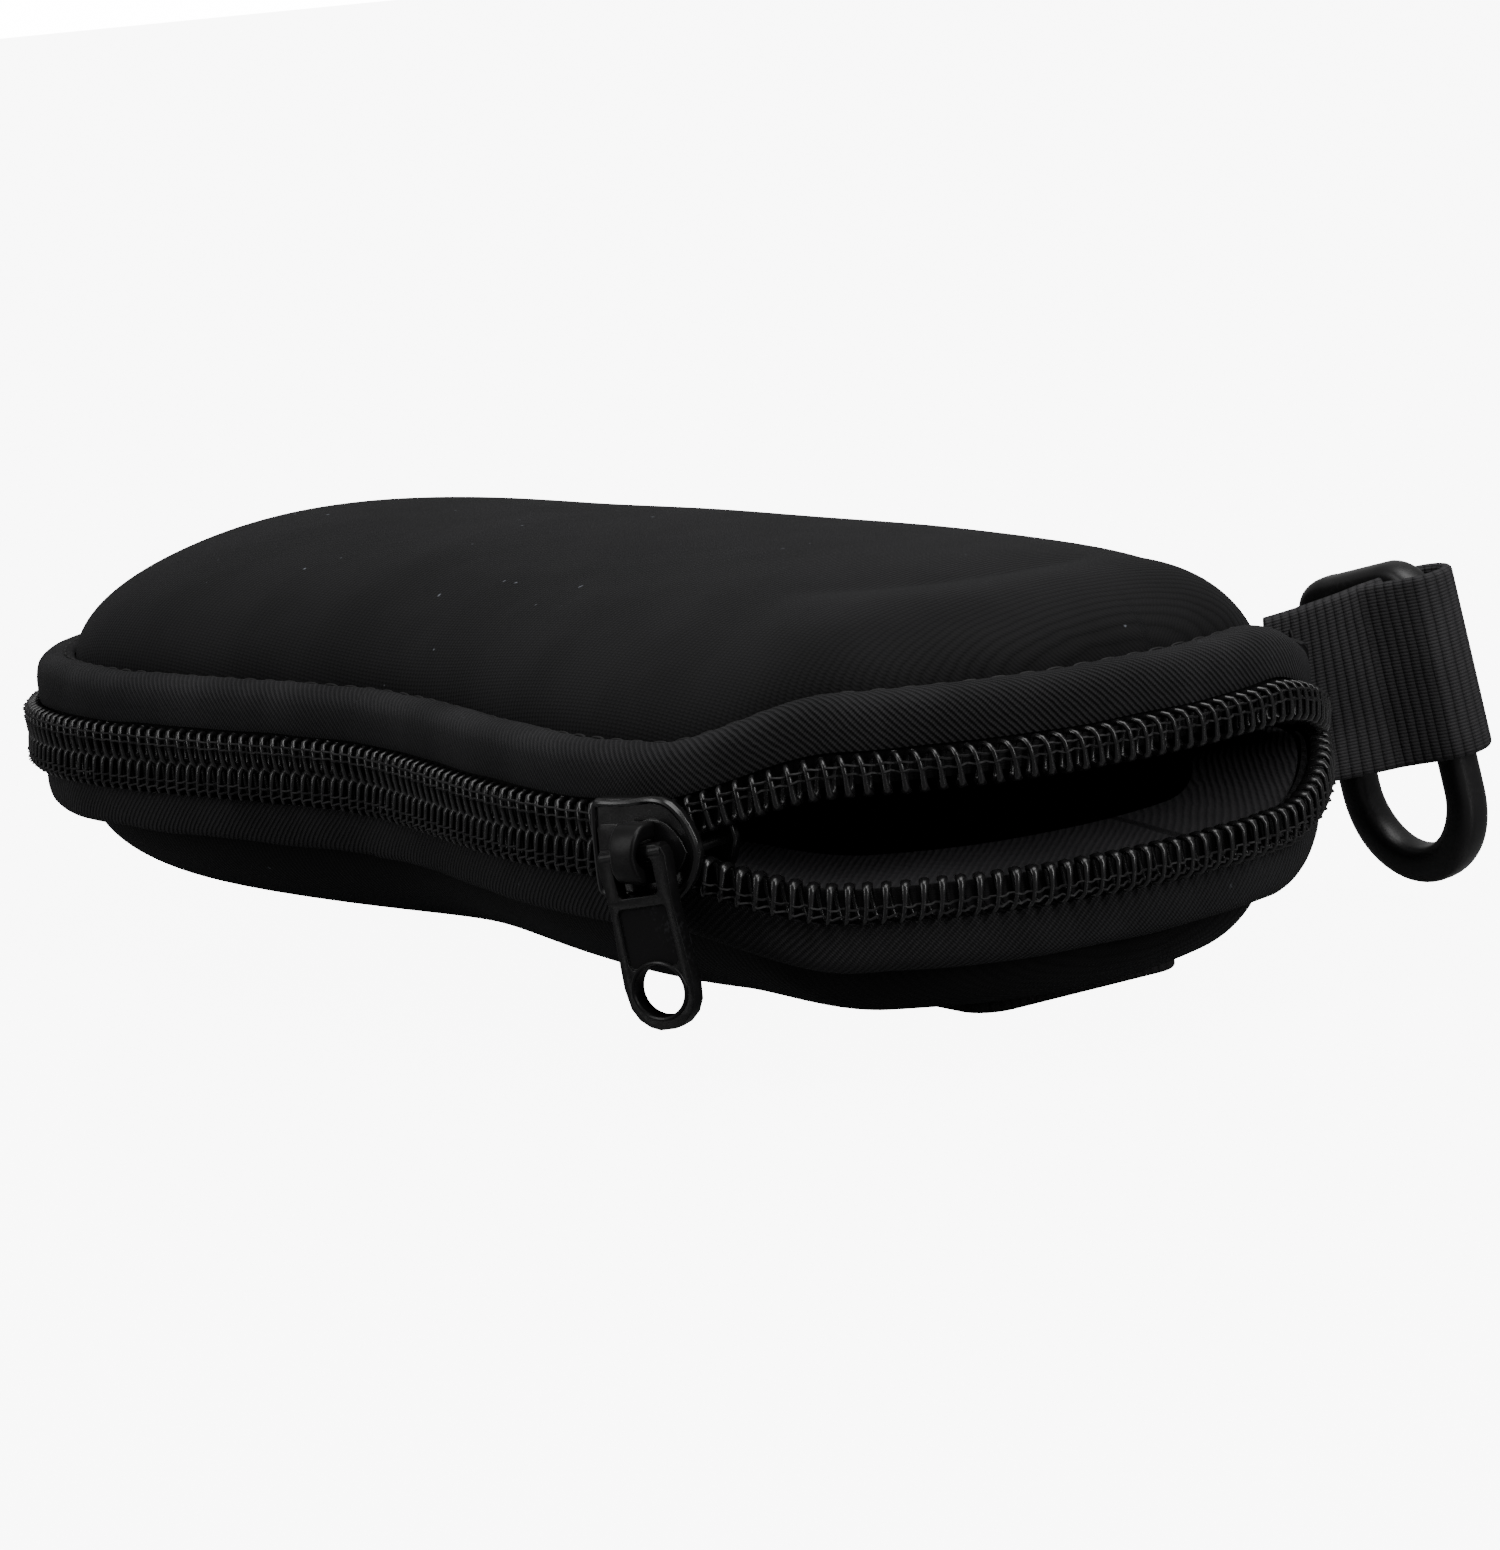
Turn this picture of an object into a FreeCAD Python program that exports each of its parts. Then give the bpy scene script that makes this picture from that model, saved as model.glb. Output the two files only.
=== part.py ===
"""Semi-hard eyeglasses case: two domed half shells joined by a cloth spine, a coil zip, a strap and a clip.

Millimetres, +Z up.  X runs along the case, -Y is the waisted front where the zip faces out.
The origin is under the middle of the case, on the flat belt loop that it rests on.
"""
import FreeCAD, Part
import math
import os

V = FreeCAD.Vector
UP = V(0, 0, 1)

# ---- driving dimensions -------------------------------------------------------------------
PARTING_Z = 21.0            # height of the plane where the two halves meet
RING_POINTS = 96            # points that each closed outline ring is run through

# plan outline of the zip's outer face
WAIST_Y = -34.0
BACK_Y = 37.5
CORNER_X = 46.0             # centre of the front corner's true arc
CORNER_Y = -3.0
CORNER_R = 36.5

# section of one half, measured inward from the outline and up from the parting plane
GAP = 0.1                   # space between touching layers
COIL_DEPTH = 2.2
COIL_TOP = 3.1
COIL_FOOT = 0.15
TAPE_OUT = -2.5
TAPE_IN = -3.0
TAPE_FOOT = 0.5
BAND_OUT = -1.7
BAND_IN = -2.4
BAND_FOOT = 3.3
BAND_TOP = 7.9
BAND_PLY = 0.8
DOME_OUT = -6.0             # foot of the dome's outer face
FLANGE_IN_Z = 5.6
FLANGE_TOP_Z = 7.0
COVER_PLY = 1.8
SHELL_PLY = 1.6
LINING_PLY = 0.5
DOME_TOP = 19.55            # crown of the dome above the parting plane
CAP_SCALE = 0.25            # the dome ends in a small flat of this scale

# the open mouth: both flanges spread from the slider round the near end to the spine
SPREAD = 4.5
SPREAD_START_X = 54.0
SPREAD_RAMP = 22.0
SPREAD_END_X = 68.0
SPREAD_END_RAMP = 20.0

SPINE_END_X = 66.0          # the spine cloth runs between plus and minus this, along the back
LID_AXIS_Y = BACK_Y - 1.25

SLIDER_ANGLE = -71.0        # place of the slider on the corner arc, degrees
TAB_LEAN = 9.0              # the pull tab hangs a little out of plumb

STRAP_ROOT_X = 54.0
STRAP_HEADING = 56.0        # direction of the strap in plan, degrees
STRAP_RISE = 9.0            # it stands up a little toward its free end
STRAP_WIDTH = 16.4
STRAP_PLY = 1.1
ANCHOR_END = 11.4           # the sewn root is this long, the fold beyond it swings
FOLD_AT = 16.7              # distance from the root to the axis of the fold
FOLD_R = 2.45              # inside radius of the fold
LEG_R = 1.7                 # half the thickness of the clip's ring
CLIP_TURN = 180.0           # direction in plan from the held leg to the gate leg
CLIP_SPAN = 14.6            # from leg axis to leg axis
CLIP_LOW = -18.6
CLIP_HIGH = 12.2
CLIP_SHOULDER_R = 3.4       # radius of the ring's two upper corners


# ---- plan outline -------------------------------------------------------------------------
def polar(centre_x, centre_y, radius, degrees):
    """Point at an angle on a circle in plan."""
    turn = math.radians(degrees)
    return V(centre_x + radius * math.cos(turn), centre_y + radius * math.sin(turn), 0)


def plan_outline():
    """Closed curve of the zip's outer face: a kidney, alike at both ends."""
    half = [V(0, WAIST_Y, 0), V(16, WAIST_Y - 1.9, 0), V(32, WAIST_Y - 4.7, 0)]
    half += [polar(CORNER_X, CORNER_Y, CORNER_R, a) for a in (-90, -67.5, -45, -22.5, 0)]
    half += [V(81.3, 10, 0), V(77, 20.8, 0), V(68.6, 29.3, 0), V(56, 34.4, 0), V(38, 36.7, 0), V(18, 37.4, 0)]
    half.append(V(0, BACK_Y, 0))
    other = [V(-p.x, p.y, 0) for p in half[-2:0:-1]]
    curve = Part.BSplineCurve()
    curve.interpolate(Points=half + other, PeriodicFlag=True)
    return curve


OUTLINE = plan_outline()
OUTLINE_LENGTH = OUTLINE.length()


def along(distance):
    """Point and outward unit normal at a distance along the outline, from the waist's middle."""
    place = OUTLINE.parameterAtDistance(distance % OUTLINE_LENGTH, OUTLINE.FirstParameter)
    tangent = OUTLINE.tangent(place)[0]
    tangent.normalize()
    return OUTLINE.value(place), tangent.cross(UP)


def distance_at_x(x, back):
    """Distance along the near half of the outline where it has this X, on its front or its back."""
    steps = 400
    half = OUTLINE_LENGTH / 2
    spans = [half * i / steps for i in range(steps + 1)]
    wanted = [d for d in spans if (along(d)[0].y > CORNER_Y) == back]
    return min(wanted, key=lambda d: abs(along(d)[0].x - x))


def smooth(value):
    """Smooth step from 0 to 1."""
    held = min(1.0, max(0.0, value))
    return held * held * (3 - 2 * held)


SPREAD_FROM = distance_at_x(SPREAD_START_X, False)
SPREAD_TO = distance_at_x(SPREAD_END_X, True)
SPINE_FROM = distance_at_x(SPINE_END_X, True)
SPINE_TO = OUTLINE_LENGTH - SPINE_FROM


def spread(distance):
    """How far a flange is held away from the parting plane at a distance along the outline."""
    place = distance % OUTLINE_LENGTH
    opening = smooth((place - SPREAD_FROM) / SPREAD_RAMP)
    closing = smooth((SPREAD_TO - place) / SPREAD_END_RAMP)
    return SPREAD * opening * closing


def station(distance, side, offset, height, scale=1.0):
    """One point of a section: side is 1 in the lid and -1 in the base."""
    point, normal = along(distance)
    edge = point + normal * offset
    middle = V(0.6 * edge.x, 3.0, 0)
    place = middle + (edge - middle) * scale
    held = max(0.0, (scale - 0.55) / 0.45)
    z = PARTING_Z + side * (height + spread(distance) * held)
    return V(place.x, place.y, z)


# ---- builders -----------------------------------------------------------------------------
def ring(side, offset, height, scale=1.0):
    """Closed wire at one offset, height and scale."""
    spans = [OUTLINE_LENGTH * i / RING_POINTS for i in range(RING_POINTS)]
    curve = Part.BSplineCurve()
    curve.interpolate(Points=[station(d, side, offset, height, scale) for d in spans], PeriodicFlag=True)
    return Part.Wire(curve.toShape())


def sew(faces):
    """Solid from faces that share their edges."""
    shell = Part.Shell([face for group in faces for face in group.Faces])
    shell.sewShape()
    solid = Part.Solid(shell)
    if solid.Volume < 0:
        solid.reverse()
    return solid


def closed_band(side, corners):
    """Solid ring whose section has these (offset, height) corners."""
    wires = [ring(side, offset, height) for offset, height in corners]
    return sew([Part.makeLoft(wires + wires[:1], False, True)])


def open_strip(side, corners, start, end):
    """Solid strip along part of the outline, with (offset, height) corners."""
    count = max(8, int((end - start) / 4.0))
    spans = [start + (end - start) * i / count for i in range(count + 1)]
    curves = []
    for offset, height in corners:
        curve = Part.BSplineCurve()
        curve.interpolate(Points=[station(d, side, offset, height) for d in spans])
        curves.append(curve.toShape())
    faces = [Part.makeRuledSurface(a, b) for a, b in zip(curves, curves[1:] + curves[:1])]
    for d in (start, end):
        loop = [station(d, side, offset, height) for offset, height in corners]
        faces.append(Part.Face(Part.makePolygon(loop + loop[:1])))
    return sew(faces)


def dome_profile(offset, foot, crown):
    """(offset, height, scale) of the rings of a dome, from its foot to its crown."""
    scales = [1.0, 0.97, 0.92, 0.85, 0.75, 0.62, 0.45, CAP_SCALE]
    span = 1 - CAP_SCALE ** 2.6
    rise = [((1 - s ** 2.6) / span) ** 0.58 for s in scales]
    return [(offset, foot + (crown - foot) * r, s) for r, s in zip(rise, scales)]


def dome_shell(side, outer, inner):
    """Closed shell between two lists of (offset, height, scale) rings that start at one rim."""
    outer_wires = [ring(side, *place) for place in outer]
    inner_wires = [ring(side, *place) for place in inner]
    faces = [Part.makeLoft(outer_wires, False, True), Part.makeLoft(inner_wires, False, True)]
    faces += [Part.Face(outer_wires[-1]), Part.Face(inner_wires[-1])]
    faces.append(Part.makeLoft([inner_wires[0], outer_wires[0]], False, True))
    return sew(faces)


def save(name, shape):
    """Write one sub-part."""
    shape.exportStep("parts/" + name + ".step")


def group(solids):
    """Several separate solids in one sub-part."""
    return Part.makeCompound(solids)


# ---- the two halves -----------------------------------------------------------------------
def build_cover(side):
    """Padded outer cloth of the dome."""
    inner_foot = DOME_OUT - COVER_PLY
    outer = dome_profile(DOME_OUT, FLANGE_TOP_Z + GAP, DOME_TOP)
    inner = dome_profile(inner_foot, FLANGE_TOP_Z + GAP, DOME_TOP - COVER_PLY)
    return dome_shell(side, outer, inner)


def build_core(side):
    """Pressed foam core: a dome with a flat flange round it."""
    outer_offset = DOME_OUT - COVER_PLY - GAP
    crown = DOME_TOP - COVER_PLY - GAP
    edge = TAPE_IN - GAP
    outer = [(edge, FLANGE_IN_Z, 1.0), (edge, FLANGE_TOP_Z, 1.0)]
    outer += dome_profile(outer_offset, FLANGE_TOP_Z, crown)
    inner = [(edge - 0.4, FLANGE_IN_Z, 1.0)]
    inner += dome_profile(outer_offset - SHELL_PLY, FLANGE_IN_Z, crown - SHELL_PLY)
    return dome_shell(side, outer, inner)


def build_lining(side):
    """Woven lining of the dome and of the flange's inner side."""
    offset = DOME_OUT - COVER_PLY - SHELL_PLY - 2 * GAP
    crown = DOME_TOP - COVER_PLY - SHELL_PLY - 2 * GAP
    foot = FLANGE_IN_Z - GAP
    edge = TAPE_IN - GAP
    outer = [(edge, foot, 1.0)] + dome_profile(offset, foot, crown)
    inner = [(edge, foot - LINING_PLY, 1.0)]
    inner += dome_profile(offset - LINING_PLY, foot - LINING_PLY, crown - LINING_PLY)
    return dome_shell(side, outer, inner)


def build_binding(side):
    """Twill tape folded over the flange's edge."""
    shoulder = 1.6
    inner_edge = DOME_OUT + GAP
    corners = [
        (BAND_OUT, BAND_FOOT),
        (BAND_OUT, BAND_TOP - shoulder),
        (BAND_OUT - 0.45, BAND_TOP - 0.45),
        (BAND_OUT - shoulder, BAND_TOP),
        (inner_edge, BAND_TOP),
        (inner_edge, BAND_TOP - BAND_PLY),
        (BAND_IN, BAND_TOP - BAND_PLY),
        (BAND_IN, BAND_FOOT),
    ]
    return closed_band(side, corners)


def build_binding_stitching(side):
    """Row of short stitches along the binding, close to the dome."""
    pitch = 3.0
    stitch = 1.9
    count = int(OUTLINE_LENGTH / pitch)
    solids = []
    for i in range(count):
        start = OUTLINE_LENGTH * i / count
        ends = [station(start + d, side, DOME_OUT + 1.0, BAND_TOP + 0.22) for d in (0, stitch)]
        axis = ends[1] - ends[0]
        solids.append(Part.makeCylinder(0.17, axis.Length, ends[0], axis))
    return group(solids)


def build_tape(side):
    """Woven zip tape, upright inside the binding, from one end of the spine round to the other."""
    top = FLANGE_TOP_Z - GAP
    corners = [(TAPE_OUT, TAPE_FOOT), (TAPE_OUT, top), (TAPE_IN, top), (TAPE_IN, TAPE_FOOT)]
    return open_strip(side, corners, SPINE_TO - OUTLINE_LENGTH, SPINE_FROM)


def build_coil(side):
    """Envelope of the nylon coil and the cord that it is sewn over."""
    inner = -COIL_DEPTH
    corners = [
        (0, COIL_FOOT + 0.4), (0, COIL_TOP - 0.5), (-0.5, COIL_TOP),
        (inner, COIL_TOP), (inner, COIL_FOOT), (-0.5, COIL_FOOT),
    ]
    return open_strip(side, corners, SPINE_TO - OUTLINE_LENGTH + 0.4, SPINE_FROM - 0.4)


# ---- spine and belt loop ------------------------------------------------------------------
SPINE_OUT = -0.9
SPINE_IN = -1.6
SPINE_HALF = 7.4


def build_spine():
    """Cloth hinge along the back: one strip across both bindings."""
    corners = [(SPINE_OUT, -SPINE_HALF), (SPINE_OUT, SPINE_HALF), (SPINE_IN, SPINE_HALF), (SPINE_IN, -SPINE_HALF)]
    return open_strip(1, corners, SPINE_FROM, SPINE_TO)


def build_spine_stitching():
    """Two rows of stitches near the spine's long edges."""
    pitch = 3.0
    inset = 1.3
    count = int((SPINE_TO - SPINE_FROM - 2 * pitch) / pitch)
    root = distance_at_x(STRAP_ROOT_X, True)
    solids = []
    for i in range(count):
        start = SPINE_FROM + pitch * (i + 1)
        if abs(start + 1 - root) < 3.4:
            continue
        for height in (SPINE_HALF - inset, inset - SPINE_HALF):
            ends = [station(start + d, 1, SPINE_OUT + 0.2, height) for d in (0, 1.9)]
            axis = ends[1] - ends[0]
            solids.append(Part.makeCylinder(0.16, axis.Length, ends[0], axis))
    return group(solids)


LOOP_FROM_X = -26.0
LOOP_TO_X = 58.0
LOOP_MIDDLE_Y = 3.0
LOOP_WIDTH = 30.0
LOOP_PLY = 1.3


LOOP_TACK_X = (LOOP_FROM_X + 3, LOOP_FROM_X + 6, LOOP_TO_X - 6, LOOP_TO_X - 3)
LOOP_TACKS = 8
LOOP_TACK_FROM = 3.4        # first tack's distance from the strap's edge
LOOP_TACK_PITCH = 3.0
LOOP_TACK_LENGTH = 2.0
LOOP_THREAD_R = 0.16
LOOP_THREAD_Z = 0.36


def loop_tack_starts():
    """Start corner of every tack, on the belt loop's lower face."""
    first = LOOP_MIDDLE_Y - LOOP_WIDTH / 2 + LOOP_TACK_FROM
    return [V(x, first + i * LOOP_TACK_PITCH, 0) for x in LOOP_TACK_X for i in range(LOOP_TACKS)]


def build_belt_loop():
    """Flat strap under the belly, sewn at its two ends, with a groove in its lower face for every tack."""
    low = V(LOOP_FROM_X, LOOP_MIDDLE_Y - LOOP_WIDTH / 2, 0)
    plate = Part.makeBox(LOOP_TO_X - LOOP_FROM_X, LOOP_WIDTH, LOOP_PLY, low)
    upright = [e for e in plate.Edges if abs(e.tangentAt(e.FirstParameter).z) > 0.9]
    plate = plate.makeFillet(4.0, upright)
    half = LOOP_THREAD_R + 0.04
    depth = LOOP_THREAD_Z + LOOP_THREAD_R
    length = LOOP_TACK_LENGTH + 0.2
    grooves = [Part.makeBox(2 * half, length, depth, start - V(half, 0.1, 0)) for start in loop_tack_starts()]
    return plate.cut(grooves)


def build_belt_loop_stitching():
    """Bar tacks across both ends of the belt loop, each in its groove."""
    up = V(0, 0, LOOP_THREAD_Z)
    along = V(0, 1, 0)
    tacks = [Part.makeCylinder(LOOP_THREAD_R, LOOP_TACK_LENGTH, start + up, along) for start in loop_tack_starts()]
    return group(tacks)


# ---- slider and pull tab ------------------------------------------------------------------
SLIDER_HALF_LENGTH = 5.6
SLIDER_HALF_HEIGHT = 4.6
PLATE_OUT_FROM = 0.35
PLATE_OUT_TO = 1.55
PLATE_IN_FROM = -4.9
PLATE_IN_TO = -3.9
CROWN_AXIS = 3.1            # distance of the pull tab's bar outside the outline
TAB_BAR_R = 0.7


def slider_frame(shape):
    """Move a shape from the slider's own frame (x along the zip, y outward, z up) to its place."""
    centre = polar(CORNER_X, CORNER_Y, CORNER_R, SLIDER_ANGLE)
    turn = FreeCAD.Rotation(UP, SLIDER_ANGLE - 90)
    shape.Placement = FreeCAD.Placement(V(centre.x, centre.y, PARTING_Z), turn).multiply(shape.Placement)
    return shape


def slider_plan(nose, tail_half):
    """Outline of a slider plate in its own x and z: a square tail and a shield-shaped nose."""
    points = [V(5.6, 0, -tail_half), V(5.6, 0, tail_half), V(1.6, 0, tail_half), V(-0.6, 0, SLIDER_HALF_HEIGHT)]
    tip = [V(-3.6, 0, SLIDER_HALF_HEIGHT - 0.9), V(-nose, 0, 0), V(-3.6, 0, 0.9 - SLIDER_HALF_HEIGHT)]
    edges = [Part.LineSegment(points[i], points[i + 1]).toShape() for i in range(3)]
    edges.append(Part.Arc(points[3], tip[0], tip[1]).toShape())
    edges.append(Part.Arc(tip[1], tip[2], V(-0.6, 0, -SLIDER_HALF_HEIGHT)).toShape())
    edges.append(Part.LineSegment(V(-0.6, 0, -SLIDER_HALF_HEIGHT), V(1.6, 0, -tail_half)).toShape())
    edges.append(Part.LineSegment(V(1.6, 0, -tail_half), points[0]).toShape())
    return Part.Face(Part.Wire(edges))


def build_slider_body():
    """Outer plate with its two side lips, inner plate, and the post between them at the nose."""
    outer = slider_plan(SLIDER_HALF_LENGTH, 4.2)
    outer.translate(V(0, PLATE_OUT_FROM, 0))
    outer = outer.extrude(V(0, PLATE_OUT_TO - PLATE_OUT_FROM, 0))
    inner = slider_plan(SLIDER_HALF_LENGTH, 4.2)
    inner.translate(V(0, PLATE_IN_FROM, 0))
    inner = inner.extrude(V(0, PLATE_IN_TO - PLATE_IN_FROM, 0))
    post = Part.makeBox(2.2, PLATE_OUT_FROM - PLATE_IN_TO + 0.4, 1.5, V(-4.6, PLATE_IN_TO - 0.2, -0.75))
    lips = [Part.makeBox(4.0, 1.2, 0.6, V(1.4, -0.8, z)) for z in (3.6, -4.2)]
    return slider_frame(outer.fuse([inner, post] + lips).removeSplitter())


def build_slider_crown():
    """Arch over the pull tab's bar, one foot above the bar and one below it."""
    foot = PLATE_OUT_TO + 0.02
    width = 3.0
    way = TAB_BAR_R + 0.45
    reach = 1.9
    arch = Part.makeCylinder(2.6, width, V(-width / 2, CROWN_AXIS, 0), V(1, 0, 0))
    legs = Part.makeBox(width, CROWN_AXIS - foot, 5.2, V(-width / 2, foot, -2.6))
    envelope = Part.makeBox(width, CROWN_AXIS + reach - foot, 5.2, V(-width / 2, foot, -2.6))
    bore = Part.makeCylinder(way, width, V(-width / 2, CROWN_AXIS, 0), V(1, 0, 0))
    throat = Part.makeBox(width, CROWN_AXIS - foot, 2 * way, V(-width / 2, foot, -way))
    crown = arch.fuse(legs).common(envelope).cut(bore.fuse(throat))
    return slider_frame(crown.removeSplitter())


TAB_LENGTH = 16.4
TAB_WIDTH = 7.0
TAB_PLY = 1.3


def build_pull_tab():
    """Long flat tab: a round bar at its top, a slot for the crown, and an oval finger hole."""
    half = TAB_WIDTH / 2
    low = -TAB_LENGTH
    front = CROWN_AXIS - TAB_PLY / 2
    corners = [V(-half, front, 0), V(half, front, 0), V(half - 0.2, front, low + 3.2)]
    edges = [Part.LineSegment(corners[0], corners[1]).toShape(), Part.LineSegment(corners[1], corners[2]).toShape()]
    last = V(-corners[2].x, front, corners[2].z)
    edges.append(Part.Arc(corners[2], V(0, front, low), last).toShape())
    edges.append(Part.LineSegment(last, corners[0]).toShape())
    plate = Part.Face(Part.Wire(edges)).extrude(V(0, TAB_PLY, 0))
    slot = Part.makeBox(TAB_WIDTH - 2.6, 4, 3.4, V(1.3 - half, front - 1, -3.4))
    hole = Part.makeCylinder(1.9, 4, V(0, front - 1, low + 3.3), V(0, 1, 0))
    stretch = FreeCAD.Matrix()
    stretch.scale(V(1.4, 1, 1))
    hole = hole.transformGeometry(stretch)
    bar = Part.makeCylinder(TAB_BAR_R, TAB_WIDTH, V(-half, CROWN_AXIS, 0), V(1, 0, 0))
    field = Part.makeBox(4.9, 0.25, 5.2, V(-2.45, front + TAB_PLY - 0.25, low + 6.4))
    tab = plate.cut(slot.fuse(hole)).fuse(bar).cut(field)
    tab.rotate(V(0, CROWN_AXIS, 0), V(0, 1, 0), TAB_LEAN)
    return slider_frame(tab)


# ---- strap --------------------------------------------------------------------------------
def strap_placement(rise):
    """Frame of the strap: x outward along it, y across its thickness, z up its width."""
    point, normal = along(distance_at_x(STRAP_ROOT_X, True))
    root = point + normal * SPINE_OUT + UP * PARTING_Z
    heading = FreeCAD.Rotation(UP, STRAP_HEADING)
    tilt = FreeCAD.Rotation(V(0, 1, 0), -rise)
    return FreeCAD.Placement(root, heading.multiply(tilt))


def placed(shape, placement):
    """Move a shape into a frame."""
    shape.Placement = placement.multiply(shape.Placement)
    return shape


def build_strap_anchor():
    """Sewn root of the strap: two plies of webbing standing out from the spine."""
    rise = math.radians(STRAP_RISE)
    start = 0.75
    half = SPINE_HALF
    end = (ANCHOR_END - 0.4) / math.cos(rise)
    lean = half * math.tan(rise)
    corners = [V(start, -STRAP_PLY, -half), V(end + lean, -STRAP_PLY, -half), V(end - lean, -STRAP_PLY, half)]
    corners.append(V(start, -STRAP_PLY, half))
    face = Part.Face(Part.makePolygon(corners + corners[:1]))
    return placed(face.extrude(V(0, 2 * STRAP_PLY, 0)), strap_placement(0))


def fold_slope(radius, start, half):
    """Angle between a ply and the strap's middle plane where it leaves the sewn root."""
    reach = FOLD_AT - start
    return math.asin(radius / math.hypot(reach, half)) - math.atan2(half, reach)


def fold_profile(radius, start, half):
    """Teardrop in plan: a round end at the fold that narrows to the sewn plies."""
    turn = math.pi / 2 + fold_slope(radius, start, half)
    touch = V(FOLD_AT + radius * math.cos(turn), radius * math.sin(turn), 0)
    touch_low = V(touch.x, -touch.y, 0)
    root = V(start, half, 0)
    root_low = V(start, -half, 0)
    edges = [Part.LineSegment(root, touch).toShape()]
    edges.append(Part.Arc(touch, V(FOLD_AT + radius, 0, 0), touch_low).toShape())
    edges.append(Part.LineSegment(touch_low, root_low).toShape())
    edges.append(Part.LineSegment(root_low, root).toShape())
    return Part.Face(Part.Wire(edges))


def build_strap_loop():
    """Webbing folded round the clip's held leg."""
    outer = fold_profile(FOLD_R + STRAP_PLY, ANCHOR_END, STRAP_PLY)
    inner = fold_profile(FOLD_R, ANCHOR_END + 1.6, 0.2)
    solid = outer.cut(inner).extrude(V(0, 0, STRAP_WIDTH))
    solid.translate(V(0, 0, -STRAP_WIDTH / 2))
    return placed(solid, strap_placement(STRAP_RISE))


def build_strap_stitching():
    """Row of stitches that closes the fold, on both faces of the strap."""
    inset = 0.9
    climb = inset * math.tan(fold_slope(FOLD_R + STRAP_PLY, ANCHOR_END, STRAP_PLY))
    solids = []
    for i in range(5):
        z = -6.6 + i * 3.0
        for face in (-1, 1):
            y = face * (STRAP_PLY + climb + 0.2)
            solids.append(Part.makeCylinder(0.16, 1.9, V(ANCHOR_END + inset, y, z), UP))
    return placed(group(solids), strap_placement(STRAP_RISE))


# ---- clip ---------------------------------------------------------------------------------
END_R = CLIP_SPAN / 2
TOP_Z = CLIP_HIGH - LEG_R - CLIP_SHOULDER_R
BOTTOM_Z = CLIP_LOW + LEG_R + END_R
PIVOT_Z = TOP_Z - 2.4
NOSE_Z = BOTTOM_Z - 0.2
GATE_CLEAR = 0.6


def clip_placement():
    """Frame of the clip: z along the held leg, x from that leg to the gate leg, y across the ring."""
    base = strap_placement(STRAP_RISE)
    origin = base.multVec(V(FOLD_AT, 0, 0))
    turned = FreeCAD.Rotation(UP, CLIP_TURN - STRAP_HEADING)
    return FreeCAD.Placement(origin, base.Rotation.multiply(turned))


def ring_outline(offset):
    """Outline of the ring at an offset from its middle line: flat shoulders above, round below."""
    left = -offset
    right = CLIP_SPAN + offset
    corner = CLIP_SHOULDER_R + offset
    crown = TOP_Z + corner
    slant = corner * math.sin(math.pi / 4)
    middle = CLIP_SHOULDER_R
    far = CLIP_SPAN - CLIP_SHOULDER_R
    edges = [Part.LineSegment(V(left, 0, BOTTOM_Z), V(left, 0, TOP_Z)).toShape()]
    bend = V(middle - slant, 0, TOP_Z + slant)
    edges.append(Part.Arc(V(left, 0, TOP_Z), bend, V(middle, 0, crown)).toShape())
    edges.append(Part.LineSegment(V(middle, 0, crown), V(far, 0, crown)).toShape())
    bend = V(far + slant, 0, TOP_Z + slant)
    edges.append(Part.Arc(V(far, 0, crown), bend, V(right, 0, TOP_Z)).toShape())
    edges.append(Part.LineSegment(V(right, 0, TOP_Z), V(right, 0, BOTTOM_Z)).toShape())
    low = V(END_R, 0, BOTTOM_Z - END_R - offset)
    edges.append(Part.Arc(V(right, 0, BOTTOM_Z), low, V(left, 0, BOTTOM_Z)).toShape())
    return Part.Face(Part.Wire(edges))


def build_clip_frame():
    """Moulded ring, open on one leg where the gate sits between a nose and a forked foot."""
    body = ring_outline(LEG_R).cut(ring_outline(-LEG_R)).extrude(V(0, 2 * LEG_R, 0))
    body.translate(V(0, -LEG_R, 0))
    long_edges = [e for e in body.Edges if e.BoundBox.YLength < 0.01]
    body = body.makeChamfer(0.6, long_edges)
    gap = Part.makeBox(6, 8, PIVOT_Z - 1.5 - NOSE_Z, V(CLIP_SPAN - 3, -4, NOSE_Z))
    fork = Part.makeBox(6, 1.7, 3.1, V(CLIP_SPAN - 3, -0.85, PIVOT_Z - 1.5))
    pin_way = Part.makeCylinder(0.66, 8, V(CLIP_SPAN, -4, PIVOT_Z), V(0, 1, 0))
    return placed(body.cut(gap.fuse([fork, pin_way])), clip_placement())


def build_clip_gate():
    """Gate bar: a thin eye between the fork's cheeks above, a broad thumb block below."""
    half = 1.45
    foot = NOSE_Z + GATE_CLEAR
    bar = Part.makeBox(2 * half, 2 * half, PIVOT_Z - 2.7 - foot, V(CLIP_SPAN - half, -half, foot))
    block = Part.makeBox(4.6, 3.4, 1.7, V(CLIP_SPAN - 2.0, -1.7, foot))
    eye = Part.makeCylinder(1.25, 1.4, V(CLIP_SPAN, -0.7, PIVOT_Z), V(0, 1, 0))
    neck = Part.makeBox(2.0, 1.4, 2.8, V(CLIP_SPAN - 1.0, -0.7, PIVOT_Z - 2.8))
    way = Part.makeCylinder(0.65, 3, V(CLIP_SPAN, -1.5, PIVOT_Z), V(0, 1, 0))
    return placed(bar.fuse([block, eye, neck]).cut(way).removeSplitter(), clip_placement())


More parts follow.
